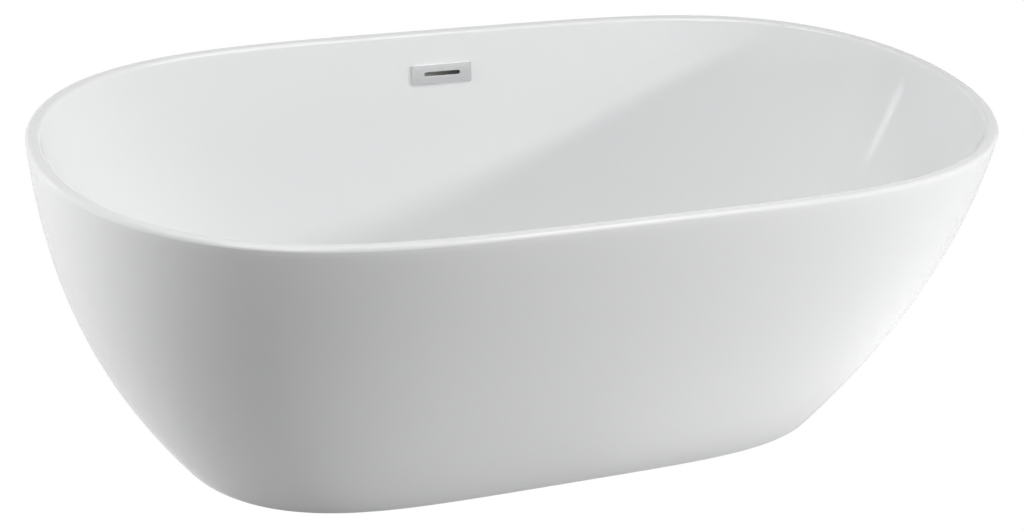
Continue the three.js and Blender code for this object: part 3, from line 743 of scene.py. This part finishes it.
def overflow_frame():
    """Matrix from the overflow's own axes, -Y into the tub, to the tub's, in millimetres."""
    corner = wall_corner(OVERFLOW_STEP)
    run = wall_corner(OVERFLOW_STEP + 1) - corner
    place = Matrix.Translation((0, *(corner + OVERFLOW_SHARE * run)))
    return place @ Matrix.Rotation(-math.atan2(*run), 4, "X")


def wall_corner(step):
    """Half width and height of the wall at one of the CAD model's steps."""
    t = step / CAD_WALL_STEPS
    height = bezier((FLOOR_HEIGHT, FLOOR_HEIGHT, WALL_SHOULDER_HEIGHT, WALL_TOP), t)
    return Vector((bezier(WALL_HALF_WIDTH, t), height))


def wall_plate(flat, depths):
    """Rings of a piece parallel to the overflow wall; depth grows away from the tub."""
    return [np.column_stack([flat[:, 0], np.full(len(flat), depth), flat[:, 1]])
            for depth in depths]


def add_basin():
    """Inner shell with its rim, its drain hole and the hole behind the overflow plate."""
    rings, front = basin_rings()
    mesh = to_mesh("basin", loft(rings), front * AROUND)
    hole = loft(wall_plate(rounded_rectangle(*WALL_HOLE), [-20, 20]), "capped")
    mesh = carved(mesh, to_mesh("hole", moved(hole, overflow_frame())))
    add_piece("tub_basin", mesh, "acrylic", replaced=["basin_shell"])


def add_skirt():
    """Outer shell with a rounded foot and an inward flange on the floor."""
    top = RIM_EDGE_HEIGHT - SEAM
    rings = []
    for degrees in np.linspace(90, 0, 6)[:-1]:
        angle = math.radians(degrees)
        height = BASE_ROUNDING * (1 - math.sin(angle))
        rings.append(outline(skirt_section(height), BASE_ROUNDING * (1 - math.cos(angle)), height))
    for height in np.linspace(BASE_ROUNDING, top - 1, SKIRT_STEPS):
        rings.append(outline(skirt_section(height), 0, height))
    rings.append(outline(skirt_section(top), 0.3, top))
    outside = len(rings)
    flange = BASE_FLANGE_THICKNESS
    for height in np.linspace(top, flange, SKIRT_STEPS):
        rings.append(outline(skirt_section(height), SKIRT_THICKNESS, height))
    base = skirt_section(0)
    rings.append(outline(base, SKIRT_THICKNESS + 3, flange))
    rings.append(outline(base, BASE_FLANGE - 1.5, flange))
    rings.append(outline(base, BASE_FLANGE, flange - 1.5))
    rings.append(outline(base, BASE_FLANGE, 1))
    rings.append(outline(base, BASE_FLANGE - 1, 0))
    mesh = to_mesh("skirt", loft(rings), outside * AROUND)
    add_piece("tub_skirt", mesh, "acrylic", replaced=["skirt_shell"])


def add_rim_bond():
    """Bead of resin between the shells under the rim."""
    rim = skirt_section(RIM_EDGE_HEIGHT)
    top = RIM_EDGE_HEIGHT - SEAM
    profile = [(10.3, top - 16), (7, top - 6), (5.8, top), (17.3, top), (17.6, top - 15)]
    profile.append((14, top - 12))
    rings = [outline(rim, inset, height) for inset, height in rounded(profile, 4)]
    add_piece("rim_resin", loft(rings), "resin", replaced=["rim_bond"])


# ---- Board and frame ---------------------------------------------------------------


def add_board():
    """Plywood with rounded corners, broken edges and a hole for the waste."""
    place = Place("floor_board")
    low, high = place.low.z, place.high.z
    broken = 0.8
    flat = rounded_rectangle(place.size.x, place.size.y, 120, AROUND)
    inner = rounded_rectangle(place.size.x - 2 * broken, place.size.y - 2 * broken, 119, AROUND)
    hole = circle(45, AROUND)
    rings = [at_height(inner, low), at_height(flat, low + broken)]
    rings += [at_height(flat, high - broken), at_height(inner, high)]
    rings += [at_height(hole, high), at_height(hole, low)]
    add_piece("plywood_board", loft(rings), "board", replaced=["floor_board"])


def square_tube(length, side=30, wall=2):
    """Cold-formed square tube along Z with eased saw-cut ends."""
    outer = rounded_rectangle(side, side, 3.5)
    edge = rounded_rectangle(side - 0.6, side - 0.6, 3.2)
    inner = rounded_rectangle(side - 2 * wall, side - 2 * wall, 1.8)
    half = length / 2
    rings = [at_height(edge, -half), at_height(outer, 0.4 - half)]
    rings += [at_height(outer, half - 0.4), at_height(edge, half)]
    rings += [at_height(inner, half), at_height(inner, -half)]
    return loft(rings)


def rod(radius, low, high, sides=32):
    """Plain upright rod."""
    flat = circle(radius, sides)
    return loft([at_height(flat, low), at_height(flat, high)], "capped")


def drill(radius, low, high, x, y):
    """Mesh of an upright drill, to carve with."""
    return to_mesh("drill", shifted(rod(radius, low, high), x, y))


def drilled_tube(tube, place, holes, radius):
    """Tube set at its node's middle, with an upright hole at each of the places in holes."""
    low, high = place.low.z - 5, place.high.z + 5
    drills = [drill(radius, low, high, hole.x, hole.y) for hole in holes]
    return carved(to_mesh("tube", shifted(tube, *place.middle)), *drills)


def add_rails():
    screws = [Place(f"rail_screw_{n}").middle for n in range(1, 7)]
    for side in ("front", "rear"):
        place = Place(f"frame_rail_{side}")
        tube = turned(square_tube(place.size.x), 90, "Y")
        holes = [screw for screw in screws if abs(screw.y - place.middle.y) < 1]
        add_piece(f"steel_rail_{side}", drilled_tube(tube, place, holes, 2.7),
                  "galvanised_steel", replaced=[f"frame_rail_{side}"])


def add_bars():
    for side, feet in (("left", (1, 2)), ("right", (3, 4))):
        place = Place(f"frame_bar_{side}")
        tube = turned(square_tube(place.size.y), 90, "X")
        holes = [Place(f"foot_pad_{n}").middle for n in feet]
        add_piece(f"steel_bar_{side}", drilled_tube(tube, place, holes, 6.6),
                  "galvanised_steel", replaced=[f"frame_bar_{side}"])


def weld_bead(length, radius):
    """Rippled bead along X."""
    path = np.linspace((-length / 2, 0, 0), (length / 2, 0, 0), 90)
    ripple = 1 + 0.07 * np.abs(np.sin(path[:, 0] * 2.2))
    ends = np.sqrt(np.clip(1 - (np.abs(path[:, 0]) / (length / 2)) ** 8, 0.02, 1))
    return loft(sweep(path, radius * ripple * ends, 14, np.array([0.0, 0, 1])), "capped")


def add_welds():
    """Beads where each rail crosses a bar."""
    number = 1
    for bar in ("left", "right"):
        bar_place = Place(f"frame_bar_{bar}")
        for rail in ("front", "rear"):
            rail_place = Place(f"frame_rail_{rail}")
            for y in (rail_place.low.y, rail_place.high.y):
                bead = shifted(weld_bead(26, 2.2), bar_place.middle.x, y, rail_place.low.z)
                add_piece(f"weld_bead_{number}", bead, "galvanised_steel")
                number += 1


def screw_mesh(place):
    """Pan-head screw, head down, with a cross recess and a coarse thread."""
    low, high = place.low.z, place.high.z
    head = [(0, low), (3.4, low, 1.2), (5.5, low + 1.6, 1), (5.5, low + 3)]
    head += [(2.2, low + 3), (2.2, low + 3.6), (0, low + 3.6)]
    mesh = to_mesh("screw_head", lathe(head, 0.2))
    slot = to_mesh("slot", shifted(block(4.6, 1, 2.4), 0, 0, low + 0.6))
    cross = to_mesh("cross", shifted(block(1, 4.6, 2.4), 0, 0, low + 0.6))
    mesh = carved(mesh, slot, cross)
    thread = to_mesh("thread", threaded_rod(2.35, low + 3.4, high - 3, 2.2, 0.55, 20, 7))
    tip = to_mesh("tip", lathe([(0, high - 3.1), (1.8, high - 3.1), (0, high)], 0.1, 20))
    return merged(mesh, thread, tip)


def centred(mesh, place):
    """Moves a mesh drawn about the Z axis to a node's own axis."""
    mesh.transform(Matrix.Translation((place.middle.x * MM, place.middle.y * MM, 0)))
    return mesh


def add_screws():
    for n in range(1, 7):
        place = Place(f"rail_screw_{n}")
        add_piece(f"cross_screw_{n}", centred(screw_mesh(place), place), "zinc_plate",
                  replaced=[f"rail_screw_{n}"])


def add_brackets():
    """Bent angles from the bars' ends to the skirt's base flange."""
    for n in range(1, 5):
        place = Place(f"skirt_bracket_{n}")
        out = 1 if place.middle.y > 0 else -1
        reach, tall, sheet = place.size.y, place.size.z, 3
        profile = [(0, tall), (0, 0, 5), (reach, 0), (reach, sheet), (sheet, sheet, 2.2)]
        profile.append((sheet, tall))
        angle = extruded(profile, place.size.x, 0.2)
        angle = turned(turned(angle, 90, "X"), 90, "Z")
        if out < 0:
            angle = turned(angle, 180, "Z")
        start = place.low.y if out > 0 else place.high.y
        mesh = to_mesh("angle", shifted(angle, place.middle.x, start, place.low.z))
        mesh = bevelled(mesh, 0.5, 2)
        hole_y = start + out * reach * 0.62
        hole = drill(3.3, place.low.z - 2, place.low.z + 6, place.middle.x, hole_y)
        mesh = carved(mesh, hole)
        add_piece(f"bent_bracket_{n}", mesh, "zinc_plate", replaced=[f"skirt_bracket_{n}"])


# ---- Feet --------------------------------------------------------------------------

# M12 thread.
STUD_RADIUS = 6
STUD_PITCH = 1.75


def pad_mesh(place):
    """Moulded pad with grip rings under it and a socket for the stud."""
    reach, high = place.size.x / 2, place.size.z
    groove = 0.7
    under = [(0, 0)]
    for k in range(3):
        start = 6 + 6 * k
        under += [(start, 0), (start + 0.6, groove), (start + 2.4, groove), (start + 3, 0)]
    top = [(reach, 0, 1.2), (reach, 4, 1.5), (reach - 4, 7, 2), (12, 11, 3), (12, high, 1)]
    socket = [(6.4, high, 0.6), (6.4, 7.5), (0, 7.5)]
    return to_mesh("pad", lathe(under + top + socket, 0.3))


def stud_mesh(place):
    """Threaded stud with a spanner hexagon above the pad."""
    low, high = place.low.z, place.high.z
    start = 25.5
    thread = threaded_rod(STUD_RADIUS, start, high - 1, STUD_PITCH, 1.05)
    tip = lathe([(0, high - 2), (4.9, high - 2), (4.4, high), (0, high)], 0.4, 36)
    end = start + 0.1
    shank = lathe([(0, low), (STUD_RADIUS, low, 1), (STUD_RADIUS, end, 0.3), (0, end)], 0.3, 36)
    spanner = hexagon_body(place.size.x, 18.5, 25, STUD_RADIUS - 0.5)
    shapes = {"shank": shank, "thread": thread, "tip": tip, "spanner": spanner}
    return merged(*[to_mesh(name, shape) for name, shape in shapes.items()])


def nut_mesh(place):
    """Hexagon nut for the stud, 19 mm across flats."""
    return to_mesh("nut", hexagon_body(19, place.low.z, place.high.z, STUD_RADIUS + 0.15))


def nut_weld(place):
    """Rippled ring of weld round a nut's foot."""
    angle = np.linspace(0, 2 * math.pi, 145)
    reach = 10.6 + 0.25 * np.cos(6 * angle)
    path = [reach * np.cos(angle), reach * np.sin(angle), np.full(145, place.low.z + 0.3)]
    ripple = 1.5 * (1 + 0.09 * np.abs(np.sin(18 * angle)))
    rings = sweep(np.stack(path, axis=1), ripple, 12, np.array([0.0, 0, 1]))
    return to_mesh("nut_weld", loft(rings[:-1]))


def welded_nut_mesh(place):
    return merged(nut_mesh(place), nut_weld(place))


def add_feet():
    """Each foot's pad and stud, which move with its joints, and its two nuts."""
    for n in range(1, 5):
        parts = [
            ("rubber_pad", f"foot_pad_{n}", pad_mesh, "foot_rubber", f"foot_{n}_pad"),
            ("threaded_stud", f"foot_stud_{n}", stud_mesh, "zinc_plate", f"foot_{n}_stud"),
            ("lock_nut", f"foot_lock_nut_{n}", nut_mesh, "zinc_plate", "root"),
            ("weld_nut", f"foot_weld_nut_{n}", welded_nut_mesh, "galvanised_steel", "root"),
        ]
        for name, node, make, finish, body in parts:
            place = Place(node)
            add_piece(f"{name}_{n}", centred(make(place), place), finish, body, [node])


# ---- Waste -------------------------------------------------------------------------


def add_drain_flange():
    """Chrome flange with a dished lip, its tube and the cross that holds the cartridge."""
    low, high, reach = Place("drain_flange").extents()
    bore = DRAIN_BORE
    body = [(bore, low, 0.4), (22, low, 0.4), (22, high - 2.5, 0.3), (reach, high - 2.5, 0.3)]
    body += [(reach, high - 1.3, 1), (reach - 2.5, high, 2), (bore + 3, high, 2)]
    body += [(bore, high - 4.3, 2)]
    span = 2 * bore + 1.5
    hub, cross_height = 7.3, 96
    arms = [block(2.5, span, 6), block(span, 2.5, 6)]
    arms = [to_mesh("arm", shifted(arm, z=cross_height)) for arm in arms]
    arms = [carved(arm, drill(hub, cross_height - 6, cross_height + 6, 0, 0)) for arm in arms]
    low, high = cross_height - 4, cross_height + 4
    boss = to_mesh("boss", lathe([(hub, low), (10, low), (10, high), (hub, high)], 0.6))
    mesh = merged(to_mesh("drain", lathe(body, 0.4)), boss, *arms)
    add_piece("drain_ring", mesh, "chrome", replaced=["drain_flange"])


def add_drain_gasket():
    low, high, reach = Place("drain_gasket").extents()
    profile = [(22.4, low), (reach, low), (reach, high), (22.4, high)]
    add_piece("floor_gasket", lathe(profile, 0.9), "seal_rubber", replaced=["drain_gasket"])


def add_waste_shoe():
    """Moulded waste body with stiffening webs, a thread and the overflow's side port."""
    top, flange, body, bore, outlet, low = 113.6, 38, 28, 22.4, 20.5, 26
    profile = [(17, low, 0.5), (outlet, low, 0.5), (outlet, 36, 1), (body, 42, 4)]
    profile += [(body, 103, 2), (flange, top - 5, 1.5), (flange, top, 0.6), (bore, top, 0.6)]
    profile += [(bore, 46, 1), (17, 38, 1)]
    shell = to_mesh("shoe", lathe(profile, 0.5))
    port = [(5, 21), (7, 21), (7, 48, 0.5), (7.6, 50), (7.6, 53), (6.6, 66), (5, 66)]
    port = shifted(turned(lathe(port, 0.3, 48), -90, "X"), z=PORT_HEIGHT)
    port_hole = shifted(turned(rod(5, 15, 40), -90, "X"), z=PORT_HEIGHT)
    shell = carved(shell, to_mesh("port_hole", port_hole))
    webs = []
    for k in range(8):
        corners = [(body - 0.5, 60), (body - 0.5, 106), (flange - 1.5, 106)]
        web = turned(extruded(corners, 2.2, 1), 90, "X")
        webs.append(to_mesh("web", turned(web, 22.5 + 45 * k, "Z")))
    mesh = merged(shell, to_mesh("port", port), *webs)
    add_piece("waste_body", mesh, "white_plastic", replaced=["waste_shoe"])


def add_tailpiece():
    """Plain outlet pipe with a tapered end."""
    low, high, reach = Place("waste_tailpiece").extents()
    bore = 14.5
    profile = [(bore, low, 0.4), (reach - 1, low, 0.4), (reach, low + 2.5, 1), (reach, high)]
    profile.append((bore, high))
    add_piece("outlet_tail", lathe(profile, 0.4), "white_plastic", replaced=["waste_tailpiece"])


def add_tailpiece_nut():
    """Hand nut with grip lugs."""
    low, high, reach = Place("tailpiece_nut").extents()
    profile = [(17.1, low), (reach - 3, low), (reach - 1.2, low + 2), (reach - 1.2, high)]
    profile += [(20.9, high), (20.9, low + 10), (17.1, low + 10)]
    lug_radius, lug_count = 1.9, 12
    lug = shifted(rod(lug_radius, low + 3, high - 1, 16), reach - lug_radius)
    lugs = [turned(lug, 360 / lug_count * k, "Z") for k in range(lug_count)]
    lugs = [bevelled(to_mesh("lug", lug), 0.5) for lug in lugs]
    mesh = merged(to_mesh("nut", lathe(profile, 0.6)), *lugs)
    add_piece("hand_nut", mesh, "white_plastic", replaced=["tailpiece_nut"])


def add_cartridge():
    """Click mechanism's housing, with its collar and its threaded neck below that."""
    low, high, reach = 72, 121, 7
    collar_low, collar_high = 100.3, 103.3
    profile = [(0, low), (reach, low, 1), (reach, collar_low), (9.5, collar_low)]
    profile += [(9.5, collar_high), (reach, collar_high), (reach, high, 0.8), (3.4, high)]
    profile += [(3.4, high - 4), (5.6, high - 4), (5.6, low + 3), (0, low + 3)]
    mesh = to_mesh("cartridge", lathe(profile, 0.3))
    thread = threaded_rod(7.2, 88.5, 100, 1.25, 0.5, 48)
    thread = carved(to_mesh("thread", thread), drill(6.4, 80, 110, 0, 0))
    add_piece("click_housing", merged(mesh, thread), "brass", replaced=["click_cartridge"])


def add_spring():
    """Compression spring with closed ends."""
    place = Place("cartridge_spring")
    wire, turns, coil = 0.5, 8, 4.3
    closed, closed_rise = 0.11, 0.07
    t = np.linspace(0, 1, turns * 32 + 1)
    rise = np.interp(t, [0, closed, 1 - closed, 1], [0, closed_rise, 1 - closed_rise, 1])
    low, high = place.low.z + wire, place.high.z - wire
    angle = 2 * math.pi * turns * t
    path = [coil * np.cos(angle), coil * np.sin(angle), low + (high - low) * rise]
    rings = sweep(np.stack(path, axis=1), np.full(len(t), wire), 10, np.array([1.0, 0, 0]))
    mesh = to_mesh("spring", loft(rings, "capped"))
    obj = bpy.data.objects.new("stopper_spring", mesh)
    bpy.context.scene.collection.objects.link(obj)
    mesh.materials.append(finishes["spring_steel"])
    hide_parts("cartridge_spring")
    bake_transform(obj)


def add_stopper():
    """Domed cap with a ground edge, its seal and its spindle."""
    low, high, reach = Place("stopper_cap").extents()
    under = high - 6.8
    socket, socket_top, boss = 3.2, 128.3, 7
    profile = [(0, socket_top), (socket, socket_top), (socket, low), (boss, low), (boss, under)]
    profile += [(reach - 0.6, under, 0.4), (reach, under + 0.8, 0.5), (reach, under + 1.6, 1)]
    for share in np.linspace(0.96, 0.05, 14):
        dome = math.sqrt(1 - share * share)
        profile.append((reach * share, under + 1.8 + 5.0 * dome, 2))
    profile.append((0, high))
    add_piece("domed_cap", lathe(profile, 0.4, 96), "chrome", "stopper", ["stopper_cap"])
    low, high, reach = Place("stopper_seal").extents()
    profile = [(7.3, low), (18.4, low, 0.8), (reach, high - 0.6, 0.6), (reach, high), (7.3, high)]
    add_piece("cap_seal", lathe(profile, 0.4), "seal_rubber", "stopper", ["stopper_seal"])
    low, high, reach = Place("stopper_spindle").extents()
    profile = [(0, low), (reach, low), (reach, low + 3), (3, low + 3), (3, high), (0, high)]
    add_piece("cap_spindle", lathe(profile, 0.4, 48), "brass", "stopper", ["stopper_spindle"])


# ---- Overflow ----------------------------------------------------------------------


def wall_rings(size, corner, steps, count):
    """Rings of a rounded rectangle parallel to the overflow wall, one for each
    (inset, depth) in steps."""
    rings = []
    for inset, depth in steps:
        width, height = (side - 2 * inset for side in size)
        flat = rounded_rectangle(width, height, min(corner, height / 2 - 0.02), count)
        rings += wall_plate(flat, [depth])
    return rings


def add_overflow_plate():
    """Flat plate with eased edges round its outline and its slot, and two pegs."""
    front, back, edge, lip = -4.8, -0.1, 0.55, 0.35
    steps = [(0, back), (0, front + edge), (0.3 * edge, front + 0.3 * edge), (edge, front)]
    steps.append((1.6 * edge, front))
    rings = wall_rings(PLATE_SIZE, 1.8, steps, 192)
    steps = [(-1.9 * lip, front), (-lip, front), (-0.3 * lip, front + 0.3 * lip)]
    steps += [(0, front + lip), (0, back)]
    rings += wall_rings(SLOT_SIZE, math.inf, steps, 192)
    plate = to_mesh("plate", moved(loft(rings), overflow_frame()))
    pegs = []
    for x in (-40, 40):
        peg = turned(lathe([(0, -1), (3, -1), (3, 10), (2, 12), (0, 12)], 0.3, 32), -90, "X")
        pegs.append(to_mesh("peg", moved(shifted(peg, x), overflow_frame())))
    add_piece("overflow_cover", merged(plate, *pegs), "chrome", replaced=["overflow_plate"])


def add_overflow_gasket():
    """Soft frame squeezed between the wall and the box."""
    front, back = 6.3, 8.4
    steps = [(0.6, front), (0, front + 0.7), (0, back - 0.6), (0.6, back)]
    rings = wall_rings(GASKET_SIZE, 10, steps, 160)
    rings += wall_rings(GASKET_HOLE, 10.9, [(0, back), (0, front)], 160)
    add_piece("wall_gasket", moved(loft(rings), overflow_frame()), "seal_rubber",
              replaced=["overflow_gasket"])


def softened_copy(node, width):
    """Copy of a CAD node's mesh with flat faces joined and edges rounded."""
    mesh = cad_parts[node].data.copy()
    edit = bmesh.new()
    edit.from_mesh(mesh)
    bmesh.ops.remove_doubles(edit, verts=edit.verts, dist=1e-5)
    bmesh.ops.dissolve_limit(edit, angle_limit=math.radians(1), verts=edit.verts,
                             edges=edit.edges)
    edit.to_mesh(mesh)
    edit.free()
    return bevelled(mesh, width, 2)


def add_overflow_box():
    mesh = softened_copy("overflow_box", 0.5)
    add_piece("overflow_duct", mesh, "white_plastic", replaced=["overflow_box"])


def duct_point(distance):
    """Point on the duct's line, a distance below its lower end."""
    point = DUCT_BOTTOM + (DUCT_BOTTOM - DUCT_TOP).normalized() * distance
    return (0, point.x, point.y)


def hose_route():
    """From the duct's spigot between the shells, under the board to the waste's port."""
    route = [duct_point(1), duct_point(22), (0, 330, 256), (0, 311, 212), (0, 291, 170)]
    route += [(0, 262, 125), (0, 225, 92), (0, 180, 70), (0, 130, PORT_HEIGHT + 1)]
    return route + [(0, y, PORT_HEIGHT) for y in (90, 60, 30)]


def smooth_path(points, spacing):
    """Curve through the points, sampled evenly."""
    points = np.array(points, float)
    padded = np.vstack([2 * points[0] - points[1], points, 2 * points[-1] - points[-2]])
    dense = []
    for k in range(1, len(padded) - 2):
        before, here, there, after = padded[k - 1:k + 3]
        for t in np.linspace(0, 1, 40, endpoint=False):
            straight = 2 * here + (there - before) * t
            bend = (2 * before - 5 * here + 4 * there - after) * t * t
            twist = (3 * here - before - 3 * there + after) * t**3
            dense.append((straight + bend + twist) / 2)
    dense = np.array([*dense, points[-1]])
    step = np.linalg.norm(np.diff(dense, axis=0), axis=1)
    along = np.concatenate([[0], np.cumsum(step)])
    where = np.linspace(0, along[-1], int(along[-1] / spacing) + 1)
    return np.stack([np.interp(where, along, dense[:, k]) for k in range(3)], axis=1), where


def add_hose():
    """Corrugated hose with plain cuffs at both ends."""
    path, along = smooth_path(hose_route(), 0.6)
    cuff, rib_spacing, rib_height = 24, 4.2, 0.7
    from_end = np.minimum(along, along[-1] - along)
    ribbed = np.clip((from_end - cuff) / 3, 0, 1)
    valley = 0.5 + 0.5 * np.cos(along * 2 * math.pi / rib_spacing)
    outer = 9.7 - ribbed * rib_height * valley
    normal = np.array([1.0, 0, 0])
    outside = sweep(path, outer, 28, normal)
    inside = sweep(path[::12], np.full(len(path[::12]), 8.0), 28, normal)
    add_piece("ribbed_hose", loft(outside + inside[::-1]), "grey_hose",
              replaced=["overflow_hose"])


def clip_mesh():
    """Worm-drive clip about Z: band, housing and screw on its +X side."""
    inside, outside, half = 10.1, 11.2, 4
    band = lathe([(inside, -half), (outside, -half), (outside, half), (inside, half)], 0.3)
    housing = to_mesh("housing", shifted(block(5, 9, 8), 13.4))
    axis = 13.6
    screw = lathe([(0, -7), (2.4, -7), (2.9, -6.2), (2.9, 6), (0, 6)], 0.3, 32)
    screw = to_mesh("screw", shifted(turned(screw, 90, "X"), axis))
    slot = to_mesh("slot", shifted(block(4.4, 1.6, 0.8), axis, 7))
    return merged(to_mesh("band", band), bevelled(housing, 0.8), carved(screw, slot))


def add_clips():
    """One clip on the duct's spigot, in line with the duct, and one on the waste's port."""
    run = DUCT_TOP - DUCT_BOTTOM
    upper = (Vector(duct_point(12)), math.atan2(*run))
    lower = (Place("hose_clip_lower").middle, math.pi / 2)
    for name, (middle, lean) in (("upper", upper), ("lower", lower)):
        clip = clip_mesh()
        clip.transform(Matrix.Translation(middle * MM) @ Matrix.Rotation(-lean, 4, "X"))
        add_piece(f"clip_{name}", clip, "spring_steel", replaced=[f"hose_clip_{name}"])


# ---- Studio ------------------------------------------------------------------------

AIM = Vector((-0.0135, 0.0077, 0.2902))
CAMERA_AZIMUTH = -27.216
CAMERA_ELEVATION = 25.573
CAMERA_DISTANCE = 4.1448
CAMERA_ROLL = 5.518
CAMERA_LENS = 84.68


def direction(azimuth, elevation):
    """Unit vector at an azimuth from +X towards +Y, and an elevation, in degrees."""
    turn, rise = math.radians(azimuth), math.radians(elevation)
    level = math.cos(rise)
    return Vector((level * math.cos(turn), level * math.sin(turn), math.sin(rise)))


def add_camera():
    data = bpy.data.cameras.new("camera")
    data.lens = CAMERA_LENS
    camera = bpy.data.objects.new("camera", data)
    bpy.context.scene.collection.objects.link(camera)
    back = direction(CAMERA_AZIMUTH - 90, CAMERA_ELEVATION)
    right = Vector((0, 0, 1)).cross(back).normalized()
    axes = Matrix((right, back.cross(right), back)).transposed()
    roll = Matrix.Rotation(math.radians(CAMERA_ROLL), 3, "Z")
    camera.matrix_world = Matrix.Translation(AIM + CAMERA_DISTANCE * back) @ (axes @ roll).to_4x4()
    bpy.context.scene.camera = camera


# What the studio's white walls and floor add to reflections, and the light from below
# that shows the underside through the floor's opening.
WALLS_IN_GLOSS = 0.7
FLOOR_IN_GLOSS = 0.8
LIGHT_FROM_BELOW = 1
FLOOR_BOUNCE = 0.55
FLOOR_REACH = 8000
FLOOR_LEVEL = -1

# Low key light from the right, whose shadow crosses the basin.
KEY_AZIMUTH = -29
KEY_ELEVATION = 17
KEY_STRENGTH = 0.9
KEY_SPREAD = 4

# Softboxes: place in metres, watts, width, height, what they face and if gloss shows them.
TUB_MIDDLE = (0, 0, 0.3)
Softbox = namedtuple("Softbox", "place watts width height aim in_gloss",
                     defaults=(1, 1, TUB_MIDDLE, False))
SOFTBOXES = {
    "overhead_left": Softbox((-0.8, -0.8, 2.4), 14, in_gloss=True),
    "overhead_right": Softbox((0.8, -0.8, 2.4), 13, in_gloss=True),
    "overhead_rear": Softbox((0, 0.8, 2.4), 6.6, in_gloss=True),
    "left_high": Softbox((-2.6, 0, 1.3), 19),
    "left_low": Softbox((-2.4, 0.77, 0.35), 15),
    "front_low": Softbox((1, -1.85, 0.35), 12),
    "right_high": Softbox((1.84, -1.41, 1.3), 6.5),
    "rear_fill": Softbox((0, 2.6, 1), 17),
    "rear_right": Softbox((2.4, 2.2, 1.85), 1.6, 1.6, 1.6, in_gloss=True),
    "right_floor": Softbox((0.9, -0.3, 0.003), 1.1, 0.4, 0.4, (0.9, -0.3, 1)),
    "front_floor": Softbox((0.45, -0.52, 0.003), 0.2, 0.8, 0.4, (0.45, -0.52, 1)),
    "streak": Softbox((-1.9, 1.25, 1.17), 0.61, 0.2, 0.35, (0.75, 0.09, 0.42), True),
}

WHITE = (1, 1, 1, 1)


def add_world():
    """White to the camera, pale in reflections, dark otherwise except from below."""
    world = bpy.data.worlds.new("studio")
    world.cycles.sampling_method = "NONE"
    bpy.context.scene.world = world
    made = Tree(world)
    made.tree.nodes.clear()
    place = made.node("TexCoord").outputs["Generated"]
    height = made.node("SeparateXYZ", Vector=place).outputs["Z"]
    depth = made.node("Math", {"operation": "MULTIPLY", "use_clamp": True})
    made.feed(depth.inputs[0], height)
    made.feed(depth.inputs[1], -LIGHT_FROM_BELOW)
    below = made.node("Background", Color=WHITE, Strength=depth.outputs[0])
    shown = by_ray(made, below.outputs[0], "Background", WALLS_IN_GLOSS)
    made.node("OutputWorld", Surface=shown)


def by_ray(made, unseen, kind, in_gloss):
    """White to camera rays, white of strength in_gloss to glossy ones, unseen to others."""
    rays = made.node("LightPath").outputs
    pale = made.node(kind, Color=WHITE, Strength=in_gloss).outputs[0]
    shown = made.mix_shader(rays["Is Glossy Ray"], unseen, pale)
    white = made.node(kind, Color=WHITE, Strength=1).outputs[0]
    return made.mix_shader(rays["Is Camera Ray"], shown, white)


def add_light(data, place, towards):
    """A light at place that shines along -towards and isn't seen itself."""
    light = bpy.data.objects.new(data.name, data)
    light.location = place
    light.rotation_euler = towards.to_track_quat("Z", "Y").to_euler()
    light.visible_camera = False
    bpy.context.scene.collection.objects.link(light)
    return light


def add_lights():
    key = bpy.data.lights.new("key", "SUN")
    key.energy = KEY_STRENGTH
    key.angle = math.radians(KEY_SPREAD)
    add_light(key, TUB_MIDDLE, direction(KEY_AZIMUTH, KEY_ELEVATION)).visible_glossy = False
    for name, box in SOFTBOXES.items():
        data = bpy.data.lights.new(name, "AREA")
        data.shape = "RECTANGLE"
        data.size = box.width
        data.size_y = box.height
        data.energy = box.watts
        light = add_light(data, box.place, Vector(box.place) - Vector(box.aim))
        light.visible_glossy = box.in_gloss


def add_floor():
    """Pale floor, open where the tub covers it, and clear from below."""
    opening = outline(skirt_section(0), BASE_FLANGE, FLOOR_LEVEL)
    edge = at_height(circle(FLOOR_REACH, AROUND), FLOOR_LEVEL)
    points, faces = loft([edge, opening], "open")
    mesh = bpy.data.meshes.new("floor")
    mesh.from_pydata((points * MM).tolist(), [], faces)
    material = bpy.data.materials.new("floor")
    material.cycles.emission_sampling = "NONE"
    made = Tree(material)
    made.tree.nodes.clear()
    bounce = made.node("BsdfDiffuse", Color=(FLOOR_BOUNCE, FLOOR_BOUNCE, FLOOR_BOUNCE, 1))
    above = by_ray(made, bounce.outputs[0], "Emission", FLOOR_IN_GLOSS)
    clear = made.node("BsdfTransparent").outputs[0]
    from_below = made.node("NewGeometry").outputs["Backfacing"]
    made.node("OutputMaterial", Surface=made.mix_shader(from_below, above, clear))
    mesh.materials.append(material)
    floor = bpy.data.objects.new("floor", mesh)
    bpy.context.scene.collection.objects.link(floor)


add_camera()
add_world()
add_lights()
add_floor()
add_basin()
add_skirt()
add_rim_bond()
add_board()
add_rails()
add_bars()
add_welds()
add_screws()
add_brackets()
add_feet()
add_drain_flange()
add_drain_gasket()
add_waste_shoe()
add_tailpiece()
add_tailpiece_nut()
add_cartridge()
add_spring()
add_stopper()
add_overflow_plate()
add_overflow_gasket()
add_overflow_box()
add_hose()
add_clips()

bpy.context.scene.view_settings.view_transform = "Standard"
